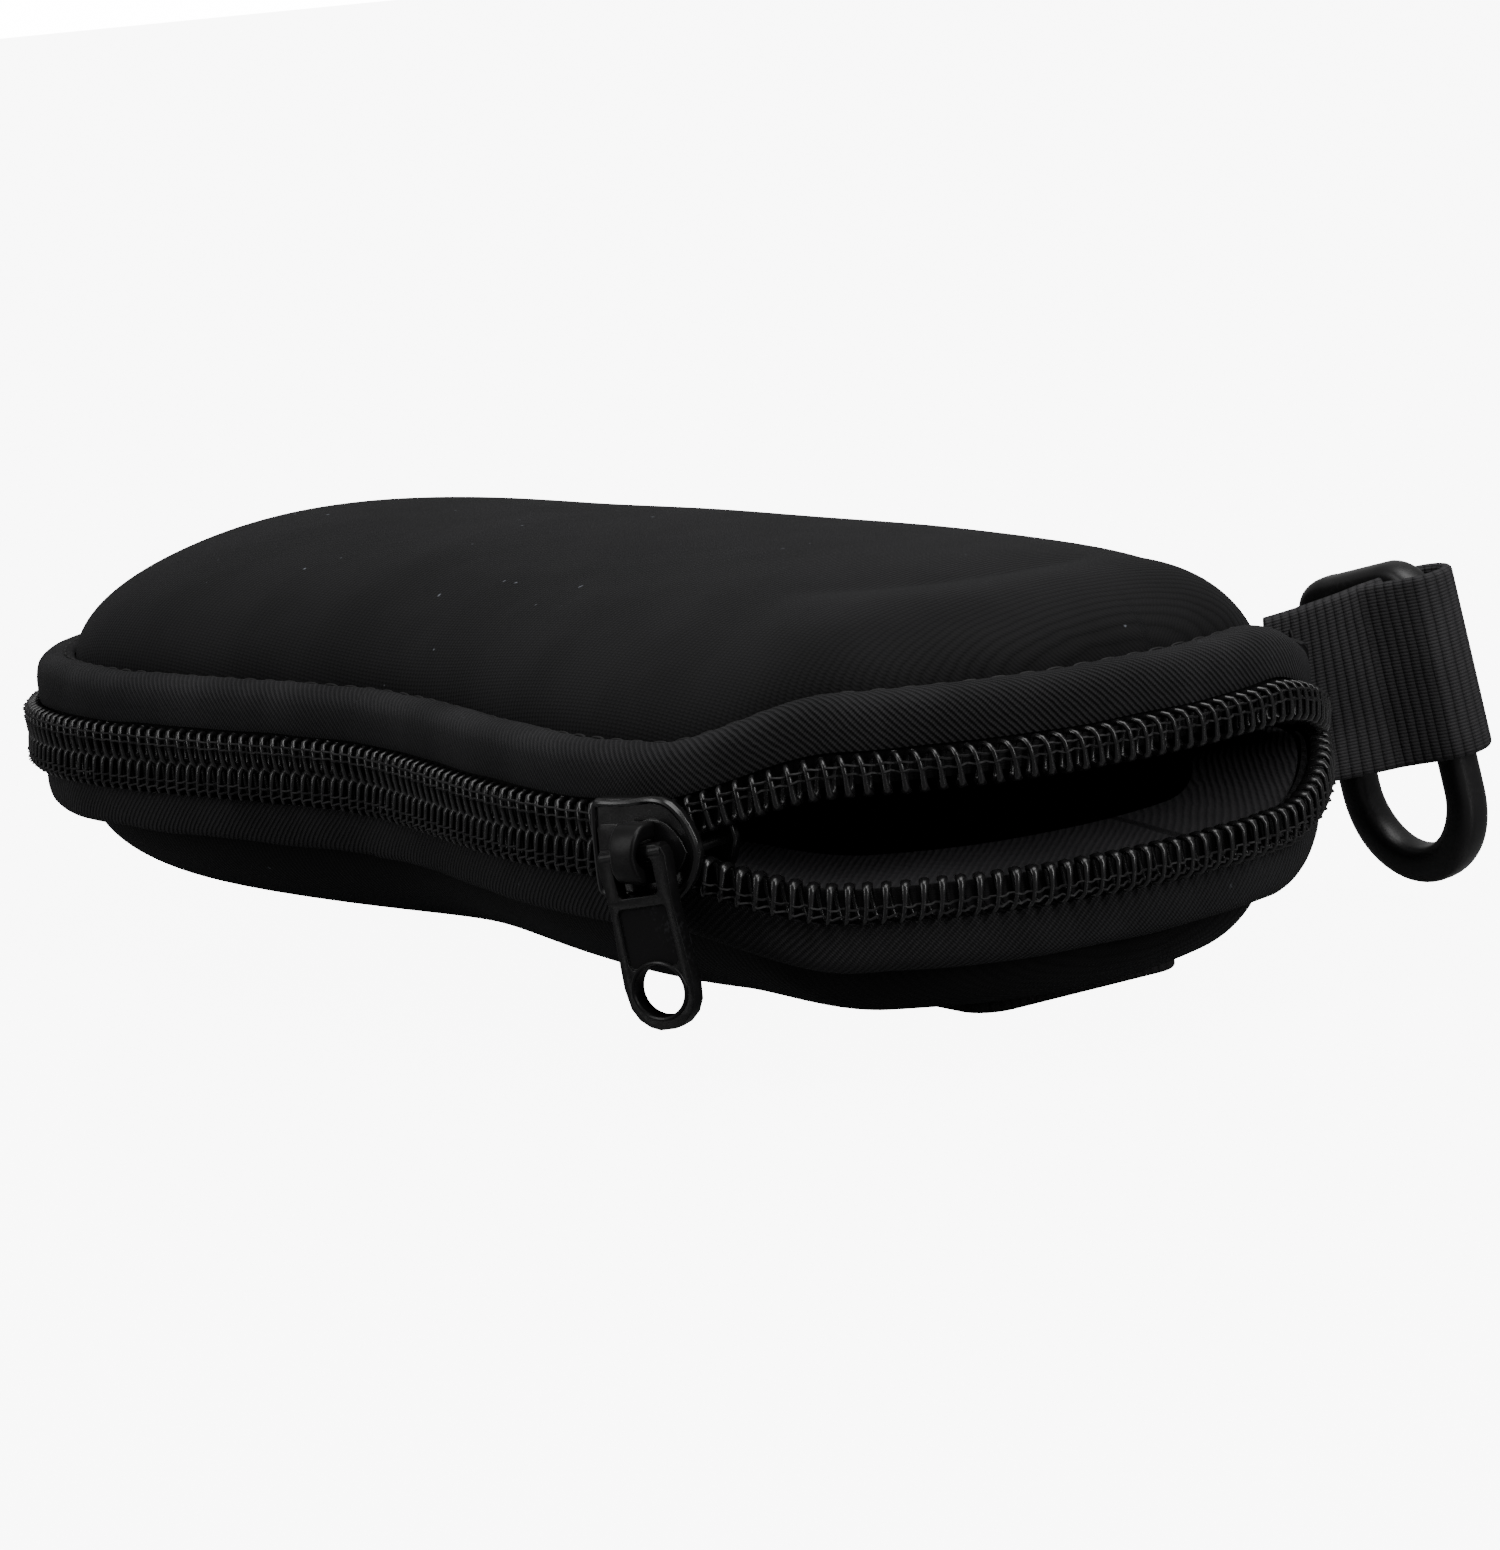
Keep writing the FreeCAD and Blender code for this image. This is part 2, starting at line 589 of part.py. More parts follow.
def build_clip_gate_pin():
    """Pin through the fork and the gate's eye."""
    return placed(Part.makeCylinder(0.6, 3.3, V(CLIP_SPAN, -1.65, PIVOT_Z), V(0, 1, 0)), clip_placement())


def build_clip_gate_spring():
    """Leaf spring on the ring's inner side, pressing the gate outward."""
    leaf = Part.makeBox(0.5, 1.2, 5.0, V(CLIP_SPAN - 2.45, -0.6, PIVOT_Z - 4.4))
    return placed(leaf, clip_placement())


# ---- write --------------------------------------------------------------------------------
def main():
    """Build and write every sub-part."""
    os.makedirs("parts", exist_ok=True)
    for side, name in ((1, "upper"), (-1, "lower")):
        save(name + "_cover", build_cover(side))
        save(name + "_shell_core", build_core(side))
        save(name + "_lining", build_lining(side))
        save(name + "_binding", build_binding(side))
        save(name + "_binding_stitching", build_binding_stitching(side))
        save(name + "_zip_tape", build_tape(side))
        save(name + "_zip_coil", build_coil(side))
    save("spine_gusset", build_spine())
    save("spine_stitching", build_spine_stitching())
    save("belt_loop", build_belt_loop())
    save("belt_loop_stitching", build_belt_loop_stitching())
    save("slider_body", build_slider_body())
    save("slider_crown", build_slider_crown())
    save("pull_tab", build_pull_tab())
    save("strap_anchor", build_strap_anchor())
    save("strap_loop", build_strap_loop())
    save("strap_stitching", build_strap_stitching())
    save("clip_frame", build_clip_frame())
    save("clip_gate", build_clip_gate())
    save("clip_gate_pin", build_clip_gate_pin())
    save("clip_gate_spring", build_clip_gate_spring())


main()
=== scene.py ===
"""Semi-hard eyeglasses case: jersey-covered shells, twill bindings, coil zip, strap and clip.

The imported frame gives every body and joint.  This script builds the cloth, the zip's coils, the
slider, the strap and the clip round it, in metres, and sets a plain studio.
"""
import logging
import math
from collections.abc import Callable
from dataclasses import dataclass, field
from enum import Enum
from functools import cache

import bpy
import numpy as np
from mathutils import Matrix, Vector


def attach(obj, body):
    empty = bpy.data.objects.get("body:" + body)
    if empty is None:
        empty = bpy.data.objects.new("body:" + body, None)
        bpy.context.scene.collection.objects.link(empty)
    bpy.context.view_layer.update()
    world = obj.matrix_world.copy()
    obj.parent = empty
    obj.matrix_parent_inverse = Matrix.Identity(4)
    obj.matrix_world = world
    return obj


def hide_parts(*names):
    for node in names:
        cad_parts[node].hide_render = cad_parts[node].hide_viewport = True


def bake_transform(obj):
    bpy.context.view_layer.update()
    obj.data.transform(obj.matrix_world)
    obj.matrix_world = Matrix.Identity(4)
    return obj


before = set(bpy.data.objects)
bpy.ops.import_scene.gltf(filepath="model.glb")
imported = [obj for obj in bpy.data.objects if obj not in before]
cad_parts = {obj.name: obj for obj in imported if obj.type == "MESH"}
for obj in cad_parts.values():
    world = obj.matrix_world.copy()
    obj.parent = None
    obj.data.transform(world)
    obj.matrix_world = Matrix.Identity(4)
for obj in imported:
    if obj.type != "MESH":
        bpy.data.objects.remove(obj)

LOG = logging.getLogger("eyeglasses_case")
MM = 0.001
MERGE_WITHIN = 0.002 * MM
LIP_FROM = 0.55

Points = np.ndarray
Place = Callable[[np.ndarray, np.ndarray], Points]


class Half(Enum):
    """The two halves of the case; the value is the direction away from the parting plane."""

    UPPER = 1
    LOWER = -1

    @property
    def word(self) -> str:
        """Name used in node and piece names."""
        return self.name.lower()

    @property
    def body(self) -> str:
        """CAD body that this half rides on."""
        return "lid" if self is Half.UPPER else "base"


# ---- workbench ----------------------------------------------------------------------------
def deselect() -> None:
    """Leave object mode with nothing selected."""
    if bpy.context.mode != "OBJECT":
        bpy.ops.object.mode_set(mode="OBJECT")
    bpy.ops.object.select_all(action="DESELECT")


def pick(piece: bpy.types.Object) -> None:
    """Make a piece the only selected one."""
    deselect()
    piece.select_set(True)
    bpy.context.view_layer.objects.active = piece


def edit_all(piece: bpy.types.Object) -> None:
    """Open a piece in edit mode with everything selected."""
    pick(piece)
    bpy.ops.object.mode_set(mode="EDIT")
    bpy.ops.mesh.select_all(action="SELECT")


def close_edit() -> None:
    """Return to object mode."""
    bpy.ops.object.mode_set(mode="OBJECT")


def apply_modifier(piece: bpy.types.Object, kind: str, **settings: object) -> None:
    """Add a modifier and apply it.

    Args:
        piece: the mesh that takes it.
        kind: modifier type, such as "BEVEL".
        settings: attribute values of the modifier.
    """
    modifier = piece.modifiers.new(kind.title(), kind)
    for key, value in settings.items():
        setattr(modifier, key, value)
    pick(piece)
    bpy.ops.object.modifier_apply(modifier=modifier.name)


def smooth(piece: bpy.types.Object, degrees: float = 40.0) -> None:
    """Shade smooth, keeping edges sharper than an angle."""
    pick(piece)
    bpy.ops.object.shade_smooth_by_angle(angle=math.radians(degrees))


def coords(piece: bpy.types.Object) -> Points:
    """Vertex places of a piece as an array of n by 3."""
    flat = np.zeros(len(piece.data.vertices) * 3)
    piece.data.vertices.foreach_get("co", flat)
    return flat.reshape(-1, 3)


def set_coords(piece: bpy.types.Object, points: Points) -> None:
    """Write vertex places back."""
    piece.data.vertices.foreach_set("co", np.ascontiguousarray(points, float).ravel())
    piece.data.update()


def set_uv(piece: bpy.types.Object, per_vertex: np.ndarray) -> None:
    """Give a piece a UV map from one (u, v) pair per vertex."""
    mesh = piece.data
    layer = mesh.uv_layers.active or mesh.uv_layers.new(name="UVMap")
    index = np.zeros(len(mesh.loops), int)
    mesh.loops.foreach_get("vertex_index", index)
    layer.data.foreach_set("uv", np.ascontiguousarray(per_vertex[index], float).ravel())


def named(piece: bpy.types.Object, name: str) -> bpy.types.Object:
    """Name a piece and its mesh."""
    piece.name = name
    piece.data.name = name
    return piece


def laid_grid(name: str, around: int, across: int, place: Place, flat: Place) -> bpy.types.Object:
    """Add a grid primitive and lay it over a surface, merged where the surface meets itself.

    Args:
        name: piece name.
        around: faces along the first direction.
        across: faces along the second direction.
        place: gives (n, 3) points for two arrays of parameters from 0 to 1.
        flat: gives (n, 2) cloth coordinates in metres for the same parameters.

    Returns:
        The new piece.
    """
    deselect()
    bpy.ops.mesh.primitive_grid_add(x_subdivisions=around, y_subdivisions=across, size=1, calc_uvs=True)
    piece = named(bpy.context.object, name)
    start = coords(piece)
    u = np.clip(start[:, 0] + 0.5, 0, 1)
    v = np.clip(start[:, 1] + 0.5, 0, 1)
    set_uv(piece, flat(u, v))
    set_coords(piece, place(u, v))
    edit_all(piece)
    bpy.ops.mesh.remove_doubles(threshold=MERGE_WITHIN)
    close_edit()
    return piece


def cap_ends(piece: bpy.types.Object) -> None:
    """Close the open ends of a tube."""
    edit_all(piece)
    bpy.ops.mesh.fill_holes(sides=0)
    close_edit()


def face_out(piece: bpy.types.Object) -> None:
    """Turn all faces of a closed piece outward."""
    edit_all(piece)
    bpy.ops.mesh.normals_make_consistent(inside=False)
    close_edit()


def join(pieces: list[bpy.types.Object], name: str) -> bpy.types.Object:
    """Join several pieces into one."""
    deselect()
    for piece in pieces:
        piece.select_set(True)
    bpy.context.view_layer.objects.active = pieces[0]
    bpy.ops.object.join()
    return named(bpy.context.object, name)


def rod(name: str, path: Points, radius: float, sides: int = 6, shut: bool = False) -> bpy.types.Object:
    """Round wire along a path of points.

    Args:
        name: piece name.
        path: (n, 3) points.
        radius: wire radius.
        sides: faces round the wire.
        shut: the path closes on itself.
    """
    deselect()
    bpy.ops.curve.primitive_nurbs_path_add()
    piece = bpy.context.object
    curve = piece.data
    curve.splines.clear()
    spline = curve.splines.new("POLY")
    spline.points.add(len(path) - 1)
    full = np.c_[path, np.ones(len(path))]
    spline.points.foreach_set("co", full.ravel())
    spline.use_cyclic_u = shut
    curve.bevel_depth = radius
    curve.bevel_resolution = max(0, sides // 2 - 2)
    curve.use_fill_caps = not shut
    curve.twist_mode = "MINIMUM"
    bpy.ops.object.convert(target="MESH")
    return named(bpy.context.object, name)


def slab(name: str, outline: Points, depth: float, bevel: float, segments: int = 3) -> bpy.types.Object:
    """Plate with a shaped outline and rounded edges, in x and z, thick along +y from 0.

    Args:
        name: piece name.
        outline: (n, 2) corners in order.
        depth: thickness.
        bevel: edge radius.
        segments: bevel steps.
    """
    deselect()
    bpy.ops.mesh.primitive_circle_add(vertices=len(outline), radius=1.0, fill_type="NGON")
    piece = named(bpy.context.object, name)
    set_coords(piece, np.c_[outline[:, 0], np.zeros(len(outline)), outline[:, 1]])
    edit_all(piece)
    bpy.ops.mesh.extrude_region_move(TRANSFORM_OT_translate={"value": (0, depth, 0)})
    bpy.ops.mesh.select_all(action="SELECT")
    bpy.ops.mesh.normals_make_consistent(inside=False)
    close_edit()
    if bevel > 0:
        apply_modifier(piece, "BEVEL", width=bevel, segments=segments, limit_method="ANGLE", angle_limit=0.6)
    return piece


def carry(piece: bpy.types.Object, matrix: Matrix) -> None:
    """Lay a piece's vertices into a frame, keeping its origin at the world's."""
    piece.data.transform(matrix)
    piece.data.update()


def slab_at(name: str, outline: Points, depth: float, level: float, bevel: float,
            segments: int = 3) -> bpy.types.Object:
    """Slab with all its sizes in millimetres, set at a level along y."""
    piece = slab(name, np.asarray(outline) * MM, depth * MM, bevel * MM, segments)
    carry(piece, Matrix.Translation((0, level * MM, 0)))
    return piece


def mirrored(right: list[tuple[float, float]]) -> Points:
    """Closed outline from its right half, listed from one end to the other."""
    return np.array(right + [(-x, z) for x, z in reversed(right)])


def cut(piece: bpy.types.Object, tool: bpy.types.Object) -> None:
    """Take a tool's volume out of a piece and remove the tool."""
    apply_modifier(piece, "BOOLEAN", operation="DIFFERENCE", object=tool, solver="EXACT")
    bpy.data.objects.remove(tool)


def arc_points(centre: tuple[float, float], radius: tuple[float, float], start: float, end: float,
               count: int) -> Points:
    """Points on an ellipse arc between two angles in degrees, in two dimensions."""
    turn = np.radians(np.linspace(start, end, count))
    return np.c_[centre[0] + radius[0] * np.cos(turn), centre[1] + radius[1] * np.sin(turn)]


def smooth_step(value: np.ndarray) -> np.ndarray:
    """Smooth step from 0 to 1."""
    held = np.clip(value, 0, 1)
    return held * held * (3 - 2 * held)


def lip_share(scale: np.ndarray) -> np.ndarray:
    """How far a point follows its lip: 1 at the edge, 0 well up the dome."""
    return np.clip((scale - LIP_FROM) / (1 - LIP_FROM), 0, None)


def ripple(*parts: np.ndarray) -> np.ndarray:
    """Soft repeatable unevenness from -1 to 1 made of a few waves of its inputs."""
    total = np.zeros_like(parts[0])
    for i, part in enumerate(parts):
        total = total + np.sin(part * (1.0 + 0.37 * i) + 1.7 * i) + 0.5 * np.sin(part * 2.31 + 0.9 + i)
    return total / (1.5 * len(parts))


# ---- plan outline -------------------------------------------------------------------------
@dataclass
class Outline:
    """Plan curve of the zip's outer face, and how its two lips spread round the open end."""

    waist_y: float = -34 * MM
    back_y: float = 37.5 * MM
    corner: tuple[float, float, float] = (46 * MM, -3 * MM, 36.5 * MM)
    parting_z: float = 21 * MM
    middle_y: float = 3 * MM
    spread: float = 4.0 * MM
    spread_start_x: float = 54 * MM
    spread_ramp: float = 22 * MM
    spread_end_x: float = 68 * MM
    spread_end_ramp: float = 20 * MM
    spine_end_x: float = 66 * MM
    steps: int = 4800
    table: np.ndarray = field(init=False)
    length: float = field(init=False)

    def __post_init__(self) -> None:
        """Run a smooth closed curve through the control points and measure it."""
        loop = self.controls()
        closed = np.vstack([loop, loop[:1]])
        chord = np.r_[0, np.cumsum(np.hypot(*np.diff(closed, axis=0).T))]
        second = self.bends(closed, chord)
        at = np.linspace(0, chord[-1], self.steps + 1)
        place = self.spline(closed, chord, second, at)
        run = np.r_[0, np.cumsum(np.hypot(*np.diff(place, axis=0).T))]
        self.length = float(run[-1])
        tangent = np.gradient(place, run, axis=0)
        tangent[0] = tangent[-1] = (place[1] - place[-2]) / np.linalg.norm(place[1] - place[-2])
        tangent /= np.linalg.norm(tangent, axis=1)[:, None]
        self.table = np.c_[run, place, tangent[:, 1], -tangent[:, 0]]
        self.spread_from = self.distance_at_x(self.spread_start_x, False)
        self.spread_to = self.distance_at_x(self.spread_end_x, True)
        self.spine_from = self.distance_at_x(self.spine_end_x, True)
        self.spine_to = self.length - self.spine_from

    def controls(self) -> Points:
        """Control points of the closed kidney, alike at both ends."""
        x, y, radius = self.corner
        front = [(0, self.waist_y), (16 * MM, self.waist_y - 1.9 * MM), (32 * MM, self.waist_y - 4.7 * MM)]
        front += [tuple(p) for p in arc_points((x, y), (radius, radius), -90, 0, 5)]
        back = [(81.3, 10), (77, 20.8), (68.6, 29.3), (56, 34.4), (38, 36.7), (18, 37.4)]
        half = front + [(a * MM, b * MM) for a, b in back] + [(0, self.back_y)]
        return np.array(half + [(-a, b) for a, b in half[-2:0:-1]])

    @staticmethod
    def bends(closed: Points, chord: np.ndarray) -> Points:
        """Second derivatives of the closed cubic spline through the points."""
        count = len(closed) - 1
        gap = np.diff(chord)
        system = np.zeros((count, count))
        right = np.zeros((count, 2))
        for i in range(count):
            before, after = gap[i - 1], gap[i]
            system[i, i - 1] += before
            system[i, i] += 2 * (before + after)
            system[i, (i + 1) % count] += after
            ahead = (closed[i + 1] - closed[i]) / after
            behind = (closed[i] - closed[i - 1 if i else count - 1]) / before
            right[i] = 6 * (ahead - behind)
        inner = np.linalg.solve(system, right)
        return np.vstack([inner, inner[:1]])

    @staticmethod
    def spline(closed: Points, chord: np.ndarray, second: Points, at: np.ndarray) -> Points:
        """Points of the cubic spline at chord distances."""
        i = np.clip(np.searchsorted(chord, at, side="right") - 1, 0, len(chord) - 2)
        gap = (chord[i + 1] - chord[i])[:, None]
        a = (chord[i + 1] - at)[:, None] / gap
        b = 1 - a
        bend = ((a**3 - a) * second[i] + (b**3 - b) * second[i + 1]) * gap**2 / 6
        return a * closed[i] + b * closed[i + 1] + bend

    def at(self, distance: np.ndarray) -> tuple[Points, Points]:
        """Points and outward normals at distances along the outline from the waist's middle."""
        run = np.mod(distance, self.length)
        cols = [np.interp(run, self.table[:, 0], self.table[:, k]) for k in (1, 2, 3, 4)]
        return np.stack(cols[:2], -1), np.stack(cols[2:], -1)

    def distance_at_x(self, x: float, back: bool) -> float:
        """Distance along the +X half of the outline where it has this X, on its front or back."""
        half = self.table[self.table[:, 0] <= self.length / 2]
        side = half[(half[:, 2] > self.corner[1]) == back]
        return float(side[np.argmin(abs(side[:, 1] - x)), 0])

    def lift(self, distance: np.ndarray) -> np.ndarray:
        """How far a lip is held away from the parting plane."""
        run = np.mod(distance, self.length)
        opening = smooth_step((run - self.spread_from) / self.spread_ramp)
        closing = smooth_step((self.spread_to - run) / self.spread_end_ramp)
        return self.spread * opening * closing

    def station(self, distance: np.ndarray, half: Half, inward: np.ndarray, height: np.ndarray,
                scale: np.ndarray | float = 1.0) -> Points:
        """Points of a section.

        Args:
            distance: distances along the outline.
            half: which half of the case.
            inward: offsets from the outline, negative toward the middle.
            height: heights away from the parting plane.
            scale: 1 at the edge and 0 at the dome's middle line.
        """
        point, normal = self.at(distance)
        edge = point + normal * np.asarray(inward)[..., None]
        middle = np.stack([0.6 * edge[..., 0], np.full(edge.shape[:-1], self.middle_y)], -1)
        share = np.asarray(scale) * np.ones(edge.shape[:-1])
        plan = middle + (edge - middle) * share[..., None]
        z = self.parting_z + half.value * (height + self.lift(distance) * lip_share(share))
        return np.concatenate([plan, z[..., None]], -1)


OUTLINE = Outline()


# ---- finishes -----------------------------------------------------------------------------
class Weave(Enum):
    """Relief that a cloth finish carries."""

    JERSEY = "jersey"
    TWILL = "twill"
    RIB = "rib"


@dataclass(frozen=True)
class ClothFinish:
    """Colours and relief of one cloth; lengths in metres."""

    slot: str
    weave: Weave
    dark: float
    light: float
    roughness: float
    sheen: float
    pitch: float
    relief: float
    lint: float = 0.0


@dataclass(frozen=True)
class HardFinish:
    """Colour and surface of one moulded or plated part."""

    slot: str
    base: float
    roughness: float
    metallic: float = 0.0
    grain: float = 0.0004
    relief: float = 0.00001
    dust: float = 0.0
    specular: float = 0.3


JERSEY = ClothFinish("neoprene_jersey", Weave.JERSEY, 0.0009, 0.0034, 0.86, 0.008, 0.00060, 0.00007, 0.9)
LINING = ClothFinish("twill_lining", Weave.TWILL, 0.0050, 0.0130, 0.90, 0.010, 0.0009, 0.00014)
BINDING = ClothFinish("twill_binding", Weave.TWILL, 0.0009, 0.0090, 0.80, 0.010, 0.00070, 0.00022, 0.25)
TAPE = ClothFinish("zip_tape", Weave.RIB, 0.0012, 0.0040, 0.82, 0.005, 0.0006, 0.00006)
SPINE = ClothFinish("spine_cloth", Weave.TWILL, 0.0016, 0.0055, 0.86, 0.008, 0.0008, 0.00010, 0.2)
WEBBING = ClothFinish("webbing", Weave.RIB, 0.0020, 0.0145, 0.74, 0.012, 0.00095, 0.00020, 0.15)
THREAD = HardFinish("thread", 0.0030, 0.62, grain=0.0002, relief=0.00003, specular=0.08)
COIL = HardFinish("nylon_coil", 0.0018, 0.26, grain=0.0006, relief=0.000004, specular=0.16)
SLIDER = HardFinish("slider_metal", 0.0018, 0.24, grain=0.0008, relief=0.000006, specular=0.13)
TAB = HardFinish("pull_tab_metal", 0.0014, 0.30, grain=0.0004, relief=0.000008, dust=0.12, specular=0.075)
FIELD = HardFinish("pull_tab_metal", 0.0022, 0.75, grain=0.0002, relief=0.00003, dust=0.35, specular=0.03)
CLIP = HardFinish("clip_plastic", 0.0035, 0.38, grain=0.0005, relief=0.000006, dust=0.10, specular=0.12)
PIN = HardFinish("pin_steel", 0.25, 0.30, metallic=0.9, specular=0.5)
CROWN = HardFinish("slider_metal", 0.0012, 0.42, grain=0.0006, relief=0.000008, specular=0.07)
FOAM = HardFinish("moulded_foam", 0.004, 0.90, grain=0.0006, relief=0.00005, specular=0.05)
LINT_COLOUR = (0.05, 0.053, 0.06, 1.0)
DUST_COLOUR = (0.03, 0.03, 0.033, 1.0)
SHEEN_TINT = (0.75, 0.78, 0.85, 1.0)


class Nodes:
    """Short hand for adding and joining shader nodes in one tree."""

    def __init__(self, tree: bpy.types.NodeTree) -> None:
        """Work on one node tree."""
        self.tree = tree

    def add(self, kind: str, **inputs: object) -> bpy.types.Node:
        """Add a node and fill its sockets by name, from values or from other sockets."""
        node = self.tree.nodes.new(kind)
        for key, value in inputs.items():
            self.feed(node, key.replace("_", " "), value)
        return node

    def feed(self, node: bpy.types.Node, key: str | int, value: object) -> None:
        """Link a socket or set its value."""
        socket = node.inputs[key]
        if isinstance(value, bpy.types.NodeSocket):
            self.tree.links.new(value, socket)
        else:
            socket.default_value = value

    def math(self, operation: str, *values: object) -> bpy.types.NodeSocket:
        """Add a math node and return its result."""
        node = self.tree.nodes.new("ShaderNodeMath")
        node.operation = operation
        for i, value in enumerate(values):
            self.feed(node, i, value)
        return node.outputs[0]

    def ramp(self, value: bpy.types.NodeSocket, low: float, high: float) -> bpy.types.NodeSocket:
        """Map a range smoothly on to 0 to 1."""
        node = self.tree.nodes.new("ShaderNodeMapRange")
        node.interpolation_type = "SMOOTHSTEP"
        for i, item in enumerate((value, low, high, 0.0, 1.0)):
            self.feed(node, i, item)
        return node.outputs[0]

    def mix(self, factor: object, a: object, b: object) -> bpy.types.NodeSocket:
        """Mix two colours."""
        node = self.tree.nodes.new("ShaderNodeMix")
        node.data_type = "RGBA"
        for key, value in ((0, factor), (6, a), (7, b)):
            self.feed(node, key, value)
        return node.outputs[2]


def grey(value: float) -> tuple[float, float, float, float]:
    """Near-neutral dark colour."""
    return (value, value * 0.97, value * 1.02, 1.0)


def group_tree(name: str, given: str, made: str) -> tuple[Nodes, bpy.types.NodeSocket, bpy.types.Node]:
    """Start a node group with one number in and one number out.

    Args:
        name: group name.
        given: label of the number that goes in.
        made: label of the number that comes out.

    Returns:
        The group's nodes, the socket of the given number, and the output node.
    """
    tree = bpy.data.node_groups.new(name, "ShaderNodeTree")
    tree.interface.new_socket(name=given, in_out="INPUT", socket_type="NodeSocketFloat")
    tree.interface.new_socket(name=made, in_out="OUTPUT", socket_type="NodeSocketFloat")
    socket = tree.nodes.new("NodeGroupInput").outputs[given]
    return Nodes(tree), socket, tree.nodes.new("NodeGroupOutput")


@cache
def weave_group(weave: Weave) -> bpy.types.NodeTree:
    """Height of a woven or knitted surface from its cloth coordinates.

    Args:
        weave: which pattern.

    Returns:
        A group with a Pitch input in metres and a Height output from 0 to 1.
    """
    n, pitch, out = group_tree(f"{weave.value}_height", "Pitch", "Height")
    cloth = n.add("ShaderNodeTexCoord").outputs["UV"]
    wobble = n.add("ShaderNodeTexNoise", Vector=cloth, Scale=150.0, Detail=4.0, Roughness=0.7).outputs["Fac"]
    parts = n.add("ShaderNodeSeparateXYZ", Vector=cloth)
    scale = n.math("DIVIDE", 2 * math.pi, pitch)
    u = n.math("MULTIPLY", parts.outputs["X"], scale)
    v = n.math("MULTIPLY", parts.outputs["Y"], scale)
    shake = n.math("MULTIPLY", n.math("SUBTRACT", wobble, 0.5), 6.0)
    if weave is Weave.JERSEY:
        row = n.math("ABSOLUTE", n.math("SINE", n.math("MULTIPLY", n.math("ADD", u, shake), 0.5)))
        loop = n.math("SINE", n.math("ADD", n.math("MULTIPLY", v, 1.3), n.math("MULTIPLY", row, 2.0)))
        loops = n.math("MULTIPLY", n.math("ADD", loop, 1.0), 0.15)
        height = n.math("ADD", n.math("MULTIPLY", row, 0.7), loops)
    elif weave is Weave.TWILL:
        slant = n.math("SINE", n.math("ADD", n.math("ADD", u, v), shake))
        cross = n.math("SINE", n.math("MULTIPLY", n.math("SUBTRACT", u, v), 2.0))
        ridges = n.math("MULTIPLY", n.math("ADD", slant, 1.0), 0.38)
        height = n.math("ADD", ridges, n.math("MULTIPLY", n.math("ADD", cross, 1.0), 0.12))
    else:
        across = n.math("ADD", u, n.math("MULTIPLY", shake, 0.35))
        rib = n.math("ABSOLUTE", n.math("SINE", n.math("MULTIPLY", across, 0.5)))
        bead = n.math("ABSOLUTE", n.math("SINE", n.math("MULTIPLY", v, 1.5)))
        ribs = n.math("MULTIPLY", n.math("POWER", rib, 0.6), 0.72)
        height = n.math("ADD", ribs, n.math("MULTIPLY", bead, 0.28))
    n.feed(out, "Height", height)
    return n.tree


@cache
def lint_group() -> bpy.types.NodeTree:
    """Sparse pale specks, as a mask from 0 to 1."""
    n, amount, out = group_tree("lint_mask", "Amount", "Mask")
    place = n.add("ShaderNodeTexCoord").outputs["Object"]
    warp = n.add("ShaderNodeTexNoise", Vector=place, Scale=900.0, Detail=2.0).outputs["Color"]
    moved = n.add("ShaderNodeMix")
    moved.data_type = "VECTOR"
    n.feed(moved, 0, 0.0012)
    n.feed(moved, 4, place)
    n.feed(moved, 5, warp)
    cell = n.add("ShaderNodeTexVoronoi", Vector=moved.outputs[1], Scale=420.0, Randomness=1.0)
    speck = n.ramp(cell.outputs["Distance"], 0.10, 0.04)
    chance = n.add("ShaderNodeSeparateColor", Color=cell.outputs["Color"]).outputs["Red"]
    kept = n.math("GREATER_THAN", chance, 0.90)
    n.feed(out, "Mask", n.math("MULTIPLY", n.math("MULTIPLY", speck, kept), amount))
    return n.tree


@cache
def wear_group() -> bpy.types.NodeTree:
    """Cloudy dust and handling marks, as a mask from 0 to 1."""
    n, amount, out = group_tree("dust_mask", "Amount", "Mask")
    place = n.add("ShaderNodeTexCoord").outputs["Object"]
    cloud = n.add("ShaderNodeTexNoise", Vector=place, Scale=160.0, Detail=4.0).outputs["Fac"]
    fine = n.add("ShaderNodeTexNoise", Vector=place, Scale=2600.0, Detail=3.0).outputs["Fac"]
    broad = n.ramp(cloud, 0.42, 0.66)
    grit = n.ramp(fine, 0.50, 0.72)
    n.feed(out, "Mask", n.math("MULTIPLY", n.math("MULTIPLY", broad, grit), amount))
    return n.tree


def use_group(n: Nodes, tree: bpy.types.NodeTree, **inputs: object) -> bpy.types.Node:
    """Put a group into a tree and fill its sockets."""
    node = n.tree.nodes.new("ShaderNodeGroup")
    node.node_tree = tree
    for key, value in inputs.items():
        n.feed(node, key, value)
    return node


def new_material(name: str) -> tuple[bpy.types.Material, Nodes, bpy.types.Node]:
    """Start a material and return its tree and shader."""
    material = bpy.data.materials.new(name)
    material.use_nodes = True
    shader = next(node for node in material.node_tree.nodes if node.type == "BSDF_PRINCIPLED")
    return material, Nodes(material.node_tree), shader


